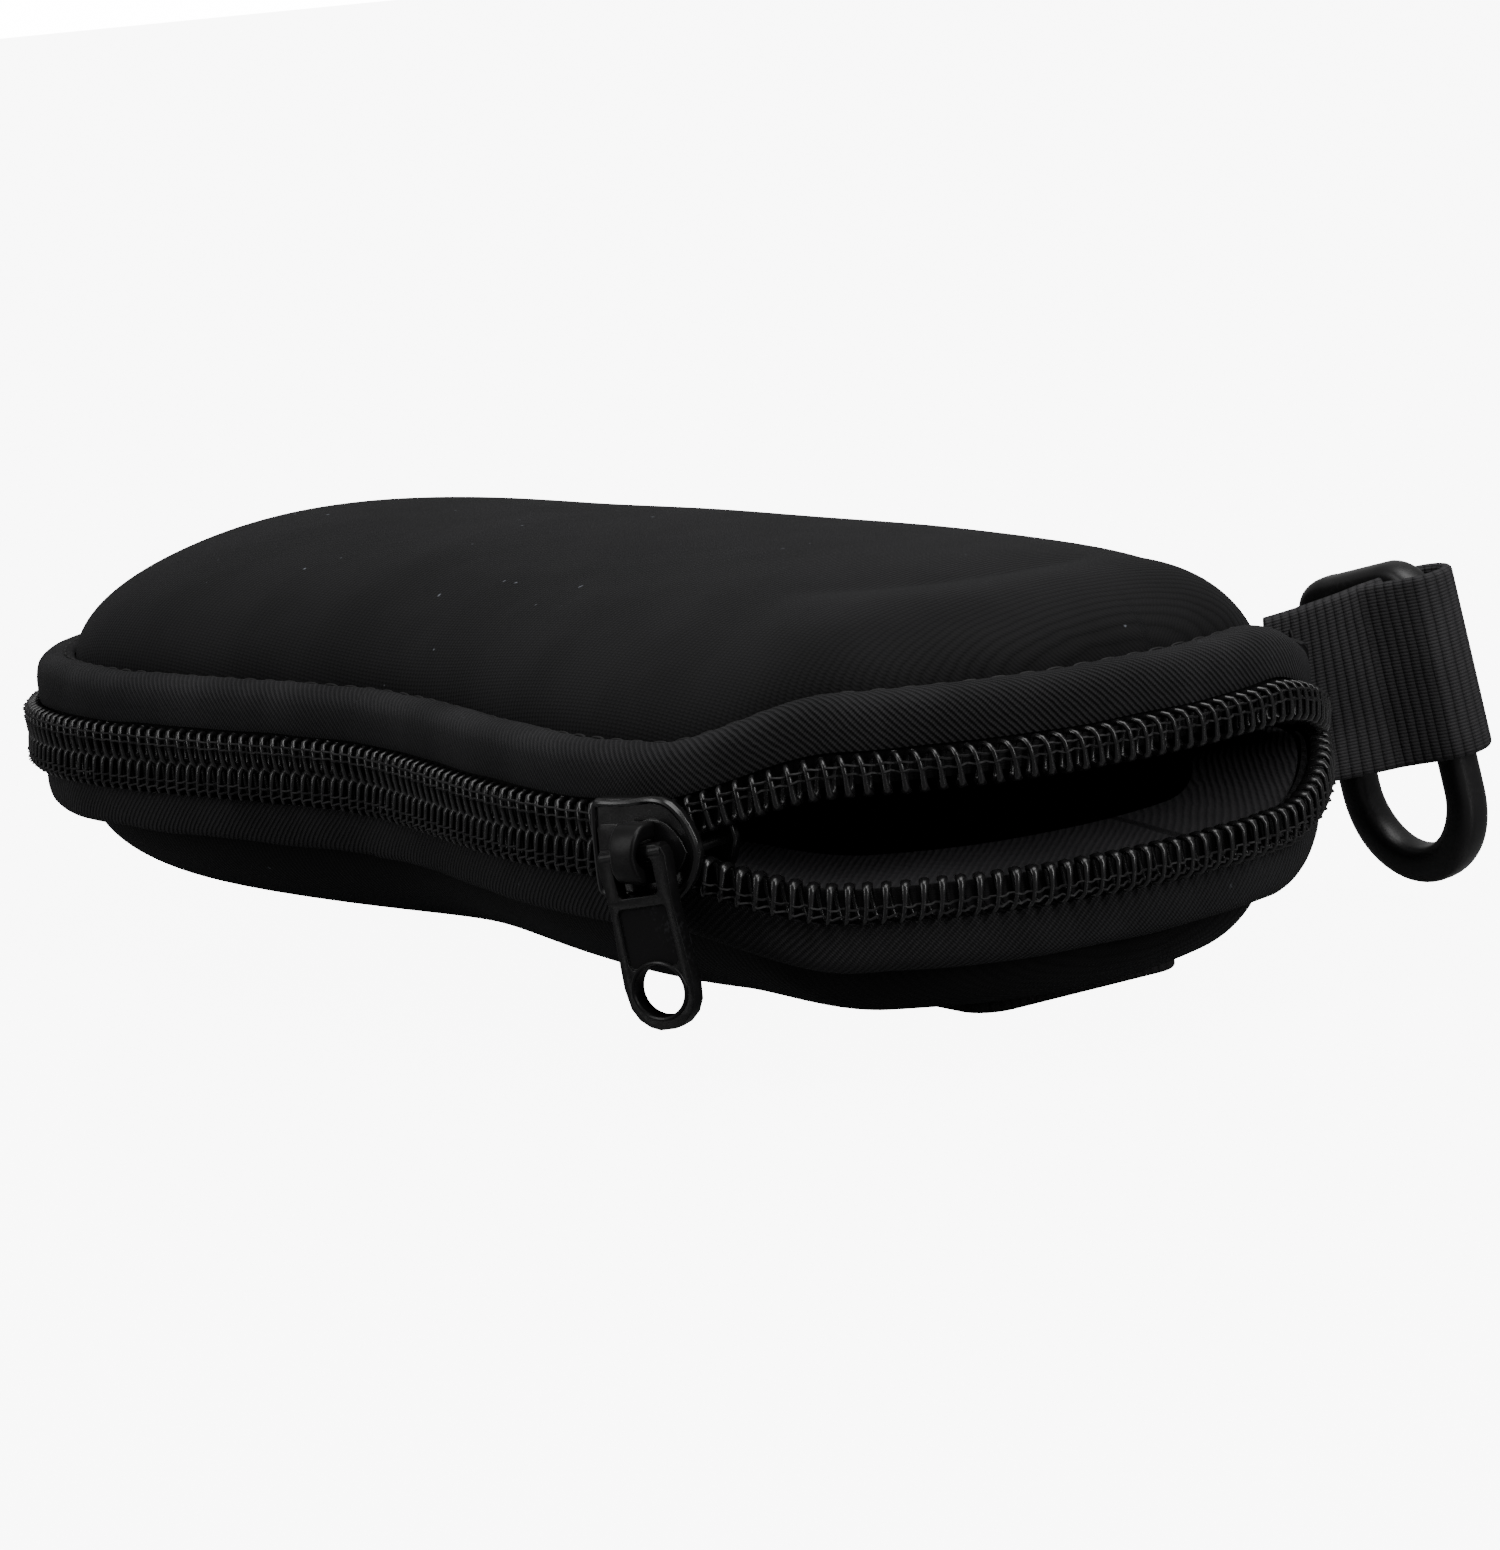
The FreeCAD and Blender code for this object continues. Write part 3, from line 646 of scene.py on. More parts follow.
@cache
def cloth_material(finish: ClothFinish) -> bpy.types.Material:
    """Material of one cloth: relief, two tones, lint and a soft sheen."""
    material, n, shader = new_material(f"{finish.slot}_finish")
    height = use_group(n, weave_group(finish.weave), Pitch=finish.pitch).outputs["Height"]
    place = n.add("ShaderNodeTexCoord").outputs["Object"]
    noise = n.add("ShaderNodeTexNoise", Vector=place, Scale=90.0, Detail=5.0).outputs["Fac"]
    cloud = n.ramp(noise, 0.35, 0.68)
    tone = n.math("MULTIPLY_ADD", cloud, 0.35, n.math("MULTIPLY", height, 0.65))
    colour = n.mix(tone, grey(finish.dark), grey(finish.light))
    lint = use_group(n, lint_group(), Amount=finish.lint).outputs["Mask"]
    n.feed(shader, "Base Color", n.mix(lint, colour, LINT_COLOUR))
    fuzz = n.add("ShaderNodeTexNoise", Vector=place, Scale=3800.0, Detail=2.0).outputs["Fac"]
    relief = n.math("MULTIPLY_ADD", fuzz, 0.35, height)
    bump = n.add("ShaderNodeBump", Strength=1.0, Distance=finish.relief, Height=relief)
    n.feed(shader, "Normal", bump.outputs["Normal"])
    n.feed(shader, "Roughness", finish.roughness)
    n.feed(shader, "Specular IOR Level", 0.05)
    n.feed(shader, "Sheen Weight", finish.sheen)
    n.feed(shader, "Sheen Roughness", 0.45)
    n.feed(shader, "Sheen Tint", SHEEN_TINT)
    return material


@cache
def hard_material(finish: HardFinish) -> bpy.types.Material:
    """Material of one moulded, plated or spun part: fine grain, dust and lighter sharp edges."""
    material, n, shader = new_material(f"{finish.slot}_{round(finish.roughness * 100)}_finish")
    place = n.add("ShaderNodeTexCoord").outputs["Object"]
    grain = n.add("ShaderNodeTexNoise", Vector=place, Scale=1.0 / finish.grain, Detail=3.0).outputs["Fac"]
    dust = use_group(n, wear_group(), Amount=finish.dust).outputs["Mask"]
    # Sharp convex edges are drawn up to half as light again as the base colour.
    edge = n.ramp(n.add("ShaderNodeNewGeometry").outputs["Pointiness"], 0.53, 0.62)
    sharp_edge_lift = n.math("MULTIPLY", edge, 0.25)
    plain = n.mix(sharp_edge_lift, grey(finish.base), grey(finish.base * 3.0))
    n.feed(shader, "Base Color", n.mix(dust, plain, DUST_COLOUR))
    rough = n.math("MULTIPLY_ADD", grain, 0.16, finish.roughness - 0.08)
    n.feed(shader, "Roughness", n.math("ADD", rough, n.math("MULTIPLY", dust, 0.4)))
    n.feed(shader, "Metallic", finish.metallic)
    n.feed(shader, "Specular IOR Level", finish.specular)
    bump = n.add("ShaderNodeBump", Strength=0.7, Distance=finish.relief, Height=grain)
    n.feed(shader, "Normal", bump.outputs["Normal"])
    return material


def finish_piece(piece: bpy.types.Object, finish: ClothFinish | HardFinish) -> None:
    """Give a piece its material and, if it is a new one, its material slot.

    Args:
        piece: a mesh or a CAD node.
        finish: what it is made of.
    """
    make = cloth_material if isinstance(finish, ClothFinish) else hard_material
    piece.data.materials.clear()
    piece.data.materials.append(make(finish))


def fit(piece: bpy.types.Object, finish: ClothFinish | HardFinish, body: str, *nodes: str) -> None:
    """Finish a new piece, set it on its body and hide the CAD nodes whose place it takes."""
    finish_piece(piece, finish)
    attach(piece, body)
    if nodes:
        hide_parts(*nodes)


# ---- shells and bindings ------------------------------------------------------------------
@dataclass
class Dome:
    """Shared dome shape of covers and linings."""

    foot_inward: float = -6.0 * MM
    foot: float = 7.1 * MM
    crown: float = 19.2 * MM
    cap_scale: float = 0.25
    fullness: float = 2.9
    rounding: float = 0.53
    lip_reach: float = 2.6 * MM
    lip_drop: float = 0.45 * MM
    welt: float = 0.10
    slack: float = 0.0
    around: int = 420
    across: int = 44

    @staticmethod
    def paired(u: np.ndarray) -> np.ndarray:
        """Distances along the outline whose front and back points share an X, from shares of one turn."""
        table = OUTLINE.table
        half = OUTLINE.length / 2
        right = table[table[:, 0] <= half]
        tip = right[np.argmax(right[:, 1])]
        folded = np.where(u <= 0.5, u, 1.0 - u)
        front = table[table[:, 0] <= tip[0]]
        back = table[(table[:, 0] >= tip[0]) & (table[:, 0] <= half)]
        x = tip[1] * np.sin(folded * 2 * math.pi)
        x = np.where(folded <= 0.25, x, tip[1] * np.sin((0.5 - folded) * 2 * math.pi))
        on_front = np.interp(x, front[:, 1], front[:, 0])
        on_back = np.interp(x, back[::-1, 1], back[::-1, 0])
        distance = np.where(folded <= 0.25, on_front, on_back)
        return np.where(u <= 0.5, distance, OUTLINE.length - distance)

    def rise(self, scale: np.ndarray) -> np.ndarray:
        """Share of the dome's height at a scale from 1 at its foot to 0 at its middle line."""
        at_cap = 1 - self.cap_scale**self.fullness
        return (np.clip(1 - scale**self.fullness, 0, None) / at_cap) ** self.rounding

    def surface(self, half: Half, u: np.ndarray, v: np.ndarray) -> Points:
        """Points of the dome with the tucked welt at its foot.

        Args:
            half: which half of the case.
            u: share of a turn round the case.
            v: 0 at the hidden edge under the binding, 1 at the dome's middle line.
        """
        distance = self.paired(u)
        tuck = np.clip(v / self.welt, 0, 1)
        up = np.clip((v - self.welt) / (1 - self.welt), 0, 1)
        scale = np.cos(up * math.pi / 2) ** 0.86
        scale = np.where(up >= 1, 0.0, scale)
        inward = self.foot_inward + (1 - tuck) * self.lip_reach
        foot = self.foot - self.lip_drop * (1 - tuck)
        height = foot + (self.crown - self.foot) * self.rise(scale)
        height = height - self.slack * OUTLINE.lift(distance) * lip_share(scale) * tuck
        points = OUTLINE.station(distance, half, inward, height, scale)
        dent = ripple(points[:, 0] * 74 + half.value, points[:, 1] * 96) * 0.30 * MM
        points[:, 2] += dent * np.sin(np.clip(up * 1.6, 0, 1) * math.pi / 2) * half.value
        return points

    def cloth(self, half: Half, u: np.ndarray, v: np.ndarray) -> np.ndarray:
        """Cloth coordinates: the plan place drawn out by the dome's slope."""
        points = self.surface(half, u, v)
        lift = np.abs(points[:, 2] - OUTLINE.parting_z)
        drop = np.clip(self.crown - 1.2 * MM - lift, 0, None)
        return np.c_[points[:, 0], points[:, 1] + np.sign(points[:, 1] - OUTLINE.middle_y) * drop]

    def build(self, name: str, half: Half, thickness: float) -> tuple[bpy.types.Object, float]:
        """Make the dome as a closed thin shell.

        Args:
            name: piece name.
            half: which half of the case.
            thickness: cloth thickness toward the inside.

        Returns:
            The piece and the area of its outer side.
        """
        piece = laid_grid(name, self.around, self.across,
                          lambda u, v: self.surface(half, u, v), lambda u, v: self.cloth(half, u, v))
        face_out(piece)
        points = coords(piece)
        normals = np.zeros(len(points) * 3)
        piece.data.vertices.foreach_get("normal", normals)
        middle = np.argmax(np.abs(points[:, 2] - OUTLINE.parting_z))
        if normals.reshape(-1, 3)[middle, 2] * half.value < 0:
            edit_all(piece)
            bpy.ops.mesh.flip_normals()
            close_edit()
        area = sum(face.area for face in piece.data.polygons)
        apply_modifier(piece, "SOLIDIFY", thickness=thickness, offset=-1.0)
        smooth(piece, 60)
        return piece, area


@dataclass
class Band:
    """Closed or open strip with one section carried along the outline."""

    corners: list[tuple[float, float]]
    start: float = 0.0
    end: float | None = None
    steps: int = 720
    wave: float = 0.0
    wave_seed: float = 0.0

    def build(self, name: str, half: Half) -> bpy.types.Object:
        """Carry the section along the outline.

        Args:
            name: piece name.
            half: which half of the case.

        Returns:
            A closed solid strip.
        """
        section = np.array(self.corners) * MM
        count = len(section)
        whole = self.end is None
        end = OUTLINE.length if whole else self.end
        looped = np.vstack([section, section[:1]])
        run = np.r_[0, np.cumsum(np.hypot(*np.diff(looped, axis=0).T))]

        def place(u: np.ndarray, v: np.ndarray) -> Points:
            distance = self.start + u * (end - self.start)
            at = v * count
            inward = np.interp(at, np.arange(count + 1), looped[:, 0])
            height = np.interp(at, np.arange(count + 1), looped[:, 1])
            if self.wave:
                shake = ripple(distance * 95 + self.wave_seed, distance * 41 + self.wave_seed * 2)
                fold = ripple(distance * 310 + self.wave_seed, distance * 170)
                tall = np.clip((height - section[:, 1].min()) / (np.ptp(section[:, 1]) + 1e-9), 0, 1)
                inward = inward + self.wave * (0.7 * shake + 0.5 * fold) * (0.4 + 0.6 * tall)
                swell = ripple(distance * 120 + 3 + self.wave_seed, distance * 260)
                height = height + self.wave * 0.9 * swell
            return OUTLINE.station(distance, half, inward, height)

        def flat(u: np.ndarray, v: np.ndarray) -> np.ndarray:
            return np.c_[self.start + u * (end - self.start), np.interp(v * count, np.arange(count + 1), run)]

        piece = laid_grid(name, self.steps, count, place, flat)
        if not whole:
            cap_ends(piece)
        face_out(piece)
        smooth(piece, 50)
        return piece


CORNER_POINTS = 3
CORNER_SHARE = 0.45


def rounded(corners: list[tuple[float, float]], radius: float, fine: float) -> list[tuple[float, float]]:
    """Round the corners of a section and split its long sides.

    Args:
        corners: section corners in millimetres.
        radius: largest corner radius.
        fine: longest straight side left whole.
    """
    points = np.array(corners, float)
    count = len(points)
    out: list[Points] = []
    for i in range(count):
        before, here, after = points[i - 1], points[i], points[(i + 1) % count]
        reach_in = min(radius, np.linalg.norm(before - here) * CORNER_SHARE)
        reach_out = min(radius, np.linalg.norm(after - here) * CORNER_SHARE)
        a = here + (before - here) / np.linalg.norm(before - here) * reach_in
        b = here + (after - here) / np.linalg.norm(after - here) * reach_out
        for t in np.linspace(0, 1, CORNER_POINTS):
            out.append((1 - t) ** 2 * a + 2 * t * (1 - t) * here + t**2 * b)
    dense: list[tuple[float, float]] = []
    for i, point in enumerate(out):
        after = out[(i + 1) % len(out)]
        pieces = max(1, int(np.linalg.norm(after - point) / fine))
        for k in range(pieces):
            spot = point + (after - point) * k / pieces
            dense.append((float(spot[0]), float(spot[1])))
    return dense


BINDING_SECTION = [(-1.7, 3.3), (-1.65, 5.6), (-1.95, 7.0), (-2.9, 7.85), (-4.4, 8.1), (-5.9, 7.75),
                   (-5.9, 7.05), (-2.45, 7.05), (-2.45, 3.4)]
TAPE_SECTION = [(-2.5, 0.5), (-2.5, 6.8), (-3.0, 6.8), (-3.0, 0.5)]


@dataclass
class Shells:
    """Covers, foam cores, linings and bindings of both halves."""

    cover: Dome = field(default_factory=Dome)
    cover_ply: float = 1.3 * MM
    lining: Dome = field(default_factory=lambda: Dome(
        foot_inward=-12.5 * MM, foot=2.3 * MM, crown=15.7 * MM, lip_reach=9.2 * MM, lip_drop=1.3 * MM,
        welt=0.25, slack=0.62, around=300, across=36))
    lining_ply: float = 0.4 * MM
    cover_flat: tuple[float, float] = (0.176, 0.090)
    cover_area: float = 0.0115
    lining_flat: tuple[float, float] = (0.162, 0.082)
    lining_area: float = 0.0098

    def binding(self, half: Half) -> bpy.types.Object:
        """Twill tape folded over the edge of one half."""
        section = rounded(BINDING_SECTION, 0.5, fine=0.5)
        band = Band(section, steps=840, wave=0.16 * MM, wave_seed=0.7 + half.value)
        return band.build(f"{half.word}_binding_tape", half)

    def build(self) -> None:
        """Make both halves."""
        for half in Half:
            word = half.word
            core = f"{word}_shell_core"
            cover, area = self.cover.build(f"{word}_cover_cloth", half, self.cover_ply)
            LOG.info("%s area %.5f", cover.name, area)
            fit(cover, JERSEY, half.body, f"{word}_cover")
            lining, area = self.lining.build(f"{word}_lining_cloth", half, self.lining_ply)
            LOG.info("%s area %.5f", lining.name, area)
            fit(lining, LINING, half.body, f"{word}_lining")
            finish_piece(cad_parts[core], FOAM)
            binding = self.binding(half)
            fit(binding, BINDING, half.body, f"{word}_binding")


# ---- stitching ----------------------------------------------------------------------------
@dataclass
class StitchRow:
    """Row of short thread stitches, one stitch modelled and copied along the outline."""

    inward: float
    height: float
    start: float
    end: float
    pitch: float = 3.0 * MM
    length: float = 2.1 * MM
    radius: float = 0.17 * MM
    up: bool = True
    zigzag: float = 0.0
    skip: tuple[float, float] | None = None
    bow: float = 0.16 * MM
    sunk: float = 0.05 * MM

    def build(self, name: str, half: Half) -> bpy.types.Object:
        """Lay the stitches.

        Args:
            name: piece name.
            half: which half of the case.

        Returns:
            All stitches as one piece.
        """
        share = np.linspace(-0.5, 0.5, 6)
        arch = np.sqrt(np.clip(1 - (2 * share) ** 2, 0, 1))
        path = np.c_[share * self.length, np.zeros(6), arch * self.bow - self.sunk]
        model = rod(name, path, self.radius, 6)
        base = coords(model)
        count = int((self.end - self.start) / self.pitch)
        middles = self.start + (np.arange(count) + 0.5) * (self.end - self.start) / count
        if self.skip:
            middles = middles[(middles < self.skip[0]) | (middles > self.skip[1])]
        copies = []
        for i, middle in enumerate(middles):
            sway = self.zigzag * (1 if i % 2 else -1)
            turn = math.radians(1.5) * math.sin(i * 2.3)
            along = middle + base[:, 0]
            cross = base[:, 1] + base[:, 0] * (turn + 2 * sway / self.length)
            if self.up:
                copies.append(OUTLINE.station(along, half, self.inward + cross, self.height + base[:, 2]))
            else:
                copies.append(OUTLINE.station(along, half, self.inward + base[:, 2], self.height + cross))
        return repeat_mesh(model, copies)


def repeat_mesh(model: bpy.types.Object, copies: list[Points]) -> bpy.types.Object:
    """Turn a modelled piece into many copies, given each copy's vertex places."""
    faces = [tuple(face.vertices) for face in model.data.polygons]
    step = len(model.data.vertices)
    everything = [tuple(v + step * i for v in face) for i in range(len(copies)) for face in faces]
    mesh = bpy.data.meshes.new(model.name)
    mesh.from_pydata(np.vstack(copies).tolist(), [], everything)
    old = model.data
    model.data = mesh
    bpy.data.meshes.remove(old)
    mesh.name = model.name
    pick(model)
    face_out(model)
    bpy.ops.object.shade_smooth()
    return model


@dataclass
class Seams:
    """Visible thread on bindings, spine and lining."""

    binding_inward: float = -4.9 * MM
    binding_height: float = 7.88 * MM
    spine_height: float = 6.1 * MM
    spine_inward: float = -0.82 * MM
    spine_margin: float = 3.0 * MM
    strap_x: float = 54 * MM
    strap_gap: tuple[float, float] = (4.4 * MM, 2.4 * MM)
    lining_inward: float = -5.4 * MM
    lining_height: float = 1.32 * MM

    def binding_row(self) -> StitchRow:
        """Row along the binding's inner edge."""
        return StitchRow(self.binding_inward, self.binding_height, 0.0, OUTLINE.length,
                         length=1.9 * MM, radius=0.13 * MM)

    def spine_row(self) -> StitchRow:
        """Row along the spine's edge, broken where the strap is sewn in."""
        root = OUTLINE.distance_at_x(self.strap_x, True)
        before, after = self.strap_gap
        return StitchRow(self.spine_inward, self.spine_height, OUTLINE.spine_from + self.spine_margin,
                         OUTLINE.spine_to - self.spine_margin, up=False, skip=(root - before, root + after))

    def lining_row(self) -> StitchRow:
        """Zigzag row that holds the lining's flange."""
        return StitchRow(self.lining_inward, self.lining_height, 0.0, OUTLINE.length,
                         pitch=2.2 * MM, length=2.3 * MM, zigzag=0.5 * MM)

    def build(self) -> None:
        """Make the seam rows of both halves."""
        for half in Half:
            seam = self.binding_row().build(f"{half.word}_binding_stitches", half)
            fit(seam, THREAD, half.body, f"{half.word}_binding_stitching")
            seam = self.spine_row().build(f"{half.word}_spine_stitches", half)
            stands_for = ("spine_stitching",) if half is Half.UPPER else ()
            fit(seam, THREAD, half.body, *stands_for)
            seam = self.lining_row().build(f"{half.word}_lining_stitches", half)
            fit(seam, THREAD, half.body)


# ---- zip ----------------------------------------------------------------------------------
COIL_OFFSET = {Half.UPPER: 0.25, Half.LOWER: 0.75}


@dataclass
class Zip:
    """Tapes, interlocked coils and their sewing threads, along the front and round both ends."""

    pitch: float = 1.6 * MM
    wire: float = 0.27 * MM
    end_gap: float = 0.6 * MM
    thread_radius: float = 0.115 * MM
    thread_rows: tuple[tuple[float, float], ...] = ((1.72 * MM, 0.4), (2.48 * MM, 1.9))

    def __post_init__(self) -> None:
        """Find where the zip starts and ends along the outline."""
        self.start = OUTLINE.spine_to - OUTLINE.length + self.end_gap
        self.end = OUTLINE.spine_from - self.end_gap
        self.count = int((self.end - self.start) / self.pitch)

    def tooth(self) -> bpy.types.Object:
        """One coil tooth: front leg, broad head, back leg, and half of the arc on each side.

        In the tooth's frame x runs along the zip, y outward and z from the parting plane.
        """
        path = np.array([
            (-0.80, -1.25, 3.10), (-0.58, -0.62, 2.98), (-0.34, -0.34, 2.50), (-0.16, -0.30, 1.45),
            (-0.04, -0.36, 0.45), (0.0, -0.62, 0.06), (0.0, -1.25, -0.06), (0.0, -1.85, 0.06),
            (0.04, -2.10, 0.45), (0.16, -2.10, 1.45), (0.34, -2.02, 2.50), (0.58, -1.86, 2.98),
            (0.80, -1.25, 3.10),
        ]) * MM
        piece = rod("coil_tooth", path, self.wire, 6)
        points = coords(piece)
        head = smooth_step((0.85 * MM - points[:, 2]) / (0.75 * MM))
        tip = smooth_step((0.42 * MM - points[:, 2]) / (0.34 * MM))
        points[:, 0] *= 1 + 0.35 * head + 0.55 * tip
        points[:, 2] -= 0.10 * MM * head
        above = smooth_step((points[:, 2] - 0.9 * MM) / (0.6 * MM))
        below = smooth_step((2.9 * MM - points[:, 2]) / (0.5 * MM))
        points[:, 1] += above * below * 0.04 * MM
        set_coords(piece, points)
        return piece

    def coil(self, half: Half) -> bpy.types.Object:
        """All teeth of one half; the lower half sits half a pitch along from the upper."""
        model = self.tooth()
        base = coords(model)
        offset = COIL_OFFSET[half]
        copies = []
        for i in range(self.count):
            middle = self.start + (i + offset) * self.pitch
            lean = 0.020 * math.sin(i * 12.9) + 0.012 * math.sin(i * 5.1)
            height = base[:, 2] + 0.03 * MM * math.sin(i * 7.7)
            along = middle + base[:, 0] + lean * (base[:, 2] - 3.1 * MM)
            copies.append(OUTLINE.station(along, half, base[:, 1], height))
        return named(repeat_mesh(model, copies), f"{half.word}_coil")

    def thread(self, half: Half, height: float, seed: float) -> bpy.types.Object:
        """Sewing thread that crosses the front legs and dips between them."""
        per = 4
        steps = np.arange(self.count * per)
        along = self.start + steps * self.pitch / per
        offset = COIL_OFFSET[half]
        phase = (along - self.start) / self.pitch - offset
        over = np.cos(phase * 2 * math.pi)
        inward = (-0.26 + 0.30 * over) * MM
        level = height + 0.10 * MM * np.sin(phase * 2 * math.pi + seed) + 0.05 * MM * np.sin(phase * 2.9)
        path = OUTLINE.station(along, half, inward, level)
        return rod(f"{half.word}_coil_thread", path, self.thread_radius, 5)

    def build(self) -> None:
        """Make the tape, the coil and the threads of both halves."""
        for half in Half:
            section = rounded(TAPE_SECTION, 0.15, fine=1.4)
            tape = Band(section, start=self.start, end=self.end, steps=520).build(f"{half.word}_tape", half)
            fit(tape, TAPE, half.body, f"{half.word}_zip_tape")
            fit(self.coil(half), COIL, half.body, f"{half.word}_zip_coil")
            threads = [self.thread(half, height, seed) for height, seed in self.thread_rows]
            rows = join(threads, f"{half.word}_coil_threads")
            smooth(rows, 80)
            fit(rows, THREAD, half.body)


# ---- slider and pull tab ------------------------------------------------------------------
@dataclass
class SliderPlace:
    """Frame of the slider: x along the zip toward its closed side, y outward, z up."""

    angle: float = -71.0

    def matrix(self) -> Matrix:
        """Placement of the slider's frame."""
        x, y, radius = OUTLINE.corner
        turn = math.radians(self.angle)
        place = Vector((x + radius * math.cos(turn), y + radius * math.sin(turn), OUTLINE.parting_z))
        return Matrix.Translation(place) @ Matrix.Rotation(turn - math.pi / 2, 4, "Z")


@dataclass
class Slider:
    """Zip slider with a crown and a long pull tab."""

    place: SliderPlace = field(default_factory=SliderPlace)
    ply: float = 1.0
    outer_level: float = 0.35
    inner_level: float = -4.9
    rim_radius: float = 0.30
    crown_axis: float = 3.1
    crown_half: float = 2.6
    crown_hole: float = 1.15
    crown_foot: float = 1.57
    crown_width: float = 2.9
    tab_lean: float = 9.0
    tab_ply: float = 1.3
    tab_half: float = 3.7
    tab_low: float = -15.2
    tab_sunk: float = 0.28
    hole_rise: float = 3.45
    hole_radius: tuple[float, float] = (2.66, 2.25)

    @staticmethod
    def plan(half_height: float, tail_half: float, nose: float) -> Points:
        """Plate outline: square tail at +x, shield-shaped nose at -x, in millimetres."""
        tail = [(5.6, tail_half - 0.5), (5.1, tail_half), (3.4, tail_half - 0.05), (1.6, tail_half + 0.05),
                (0.4, tail_half + 0.25)]
        shield = [(-0.8, 0.0), (-2.0, 0.06), (-3.0, 0.45), (-3.9, 1.2), (-4.7, 2.2), (-5.25, 3.3)]
        upper = tail + [(x, half_height - drop) for x, drop in shield] + [(-nose, 0.0)]
        lower = [(x, -z) for x, z in reversed(upper[:-1])]
        return np.array(upper + lower)

    def body(self) -> bpy.types.Object:
        """Outer plate with a raised rim and side lips, post, and inner plate."""
        shape = self.plan(4.6, 4.2, 5.6)
        rim_path = np.c_[shape[:, 0] * 0.945, np.full(len(shape), 1.34), shape[:, 1] * 0.935] * MM
        post = np.array([(-4.6, -0.35), (-3.6, -0.45), (-2.4, -0.3), (-2.4, 0.3), (-3.6, 0.45), (-4.6, 0.35)])
        lip = np.array([(1.0, 3.62), (5.2, 3.62), (5.5, 3.9), (5.2, 4.24), (1.0, 4.3), (0.3, 3.95)])
        parts = [
            slab_at("slider_outer", shape, self.ply, self.outer_level, 0.32, 4),
            rod("slider_rim", self.refine(rim_path), self.rim_radius * MM, 8, shut=True),
            slab_at("slider_boss", self.plan(3.2, 2.6, 3.9) * 0.86, 0.45, 1.20, 0.20),
            slab_at("slider_inner", shape, self.ply, self.inner_level, 0.30),
            slab_at("slider_post", post, 4.6, -4.1, 0.1, 2),
        ]
        parts += [slab_at("slider_lip", lip * [1, side], 1.9, -0.85, 0.14) for side in (1, -1)]
        whole = join(parts, "slider_shell")
        smooth(whole, 42)
        return whole

    @staticmethod
    def refine(path: Points) -> Points:
        """Round a closed path by cutting its corners twice."""
        for _ in range(2):
            after = np.roll(path, -1, axis=0)
            mixed = np.empty((len(path) * 2, 3))
            mixed[0::2] = 0.75 * path + 0.25 * after
            mixed[1::2] = 0.25 * path + 0.75 * after
            path = mixed
        return path

    def crown(self) -> bpy.types.Object:
        """Arch over the tab's bar, waisted over its top."""
        half, hole, foot = self.crown_half, self.crown_hole, self.crown_foot
        over = arc_points((0, 3.0), (half, 2.0), 0, 180, 19)
        under = arc_points((0, self.crown_axis), (hole, hole), 180, 0, 15)
        outline = np.vstack([[(half, foot)], over, [(-half, foot)], [(-hole, foot)], under, [(hole, foot)]])
        arch = slab_at("slider_crown_arch", outline, self.crown_width, 0.0, 0.34, 4)
        turned = coords(arch)
        points = np.c_[turned[:, 1] - self.crown_width / 2 * MM, turned[:, 2], turned[:, 0]]
        points[:, 0] *= 1 - 0.16 * np.clip(1 - np.abs(points[:, 2]) / (2.4 * MM), 0, 1)
        set_coords(arch, points)
        face_out(arch)
        smooth(arch, 42)
        return arch

    def tab_outline(self) -> Points:
        """Outline of the tab: shouldered top, waisted sides, round foot."""
        half, low = self.tab_half, self.tab_low
        right = [(half - 0.9, 0.62), (half - 0.25, 0.28), (half, -0.4), (half - 0.28, -3.8),
                 (half - 0.30, -5.4), (half - 0.08, -8.6), (half + 0.02, low + 4.0), (half - 0.25, low + 2.2),
                 (half - 0.9, low + 1.15), (half - 1.9, low + 0.42), (half - 2.9, low + 0.08)]
        return mirrored(right)

    def tab(self) -> bpy.types.Object:
        """Long flat tab: top loop, sunk field with a raised rim, oval finger hole."""
        ply = self.tab_ply
        centre = (0, self.tab_low + self.hole_rise)
        plate = slab_at("pull_tab_plate", self.tab_outline(), ply, 0.0, 0)
        through, below = 4, -1.2
        slot = mirrored([(1.95, -0.55), (2.15, -0.75), (2.15, -3.3), (1.8, -3.6)])
        cut(plate, slab_at("slot", slot, through, below, 0))
        cut(plate, slab_at("hole", arc_points(centre, self.hole_radius, 0, 348.75, 32), through, below, 0))
        sunk = mirrored([(2.35, -4.5), (2.6, -4.8), (2.72, -9.3), (2.35, -9.75)])
        for level in (ply - self.tab_sunk, self.tab_sunk - 1.0):
            cut(plate, slab_at("recess", sunk, 1.0, level, 0))
        apply_modifier(plate, "BEVEL", width=0.20 * MM, segments=3, limit_method="ANGLE", angle_limit=0.7)
        wide, tall = self.hole_radius
        edge = arc_points(centre, (wide + 0.18, tall + 0.18), 0, 352.5, 48) * MM
        rings = []
        for level in (ply - 0.02, 0.02):
            path = np.c_[edge[:, 0], np.full(48, level * MM), edge[:, 1]]
            rings.append(rod("tab_ring", path, 0.20 * MM, 8, shut=True))
        bar_path = np.c_[np.linspace(-3.3, 3.3, 9), np.full(9, ply / 2), np.zeros(9)] * MM
        bar = rod("tab_bar", bar_path, 0.74 * MM, 16)
        whole = join([plate, bar] + rings, "pull_tab_body")
        self.hang(whole, self.crown_axis - ply / 2)
        smooth(whole, 40)
        return whole

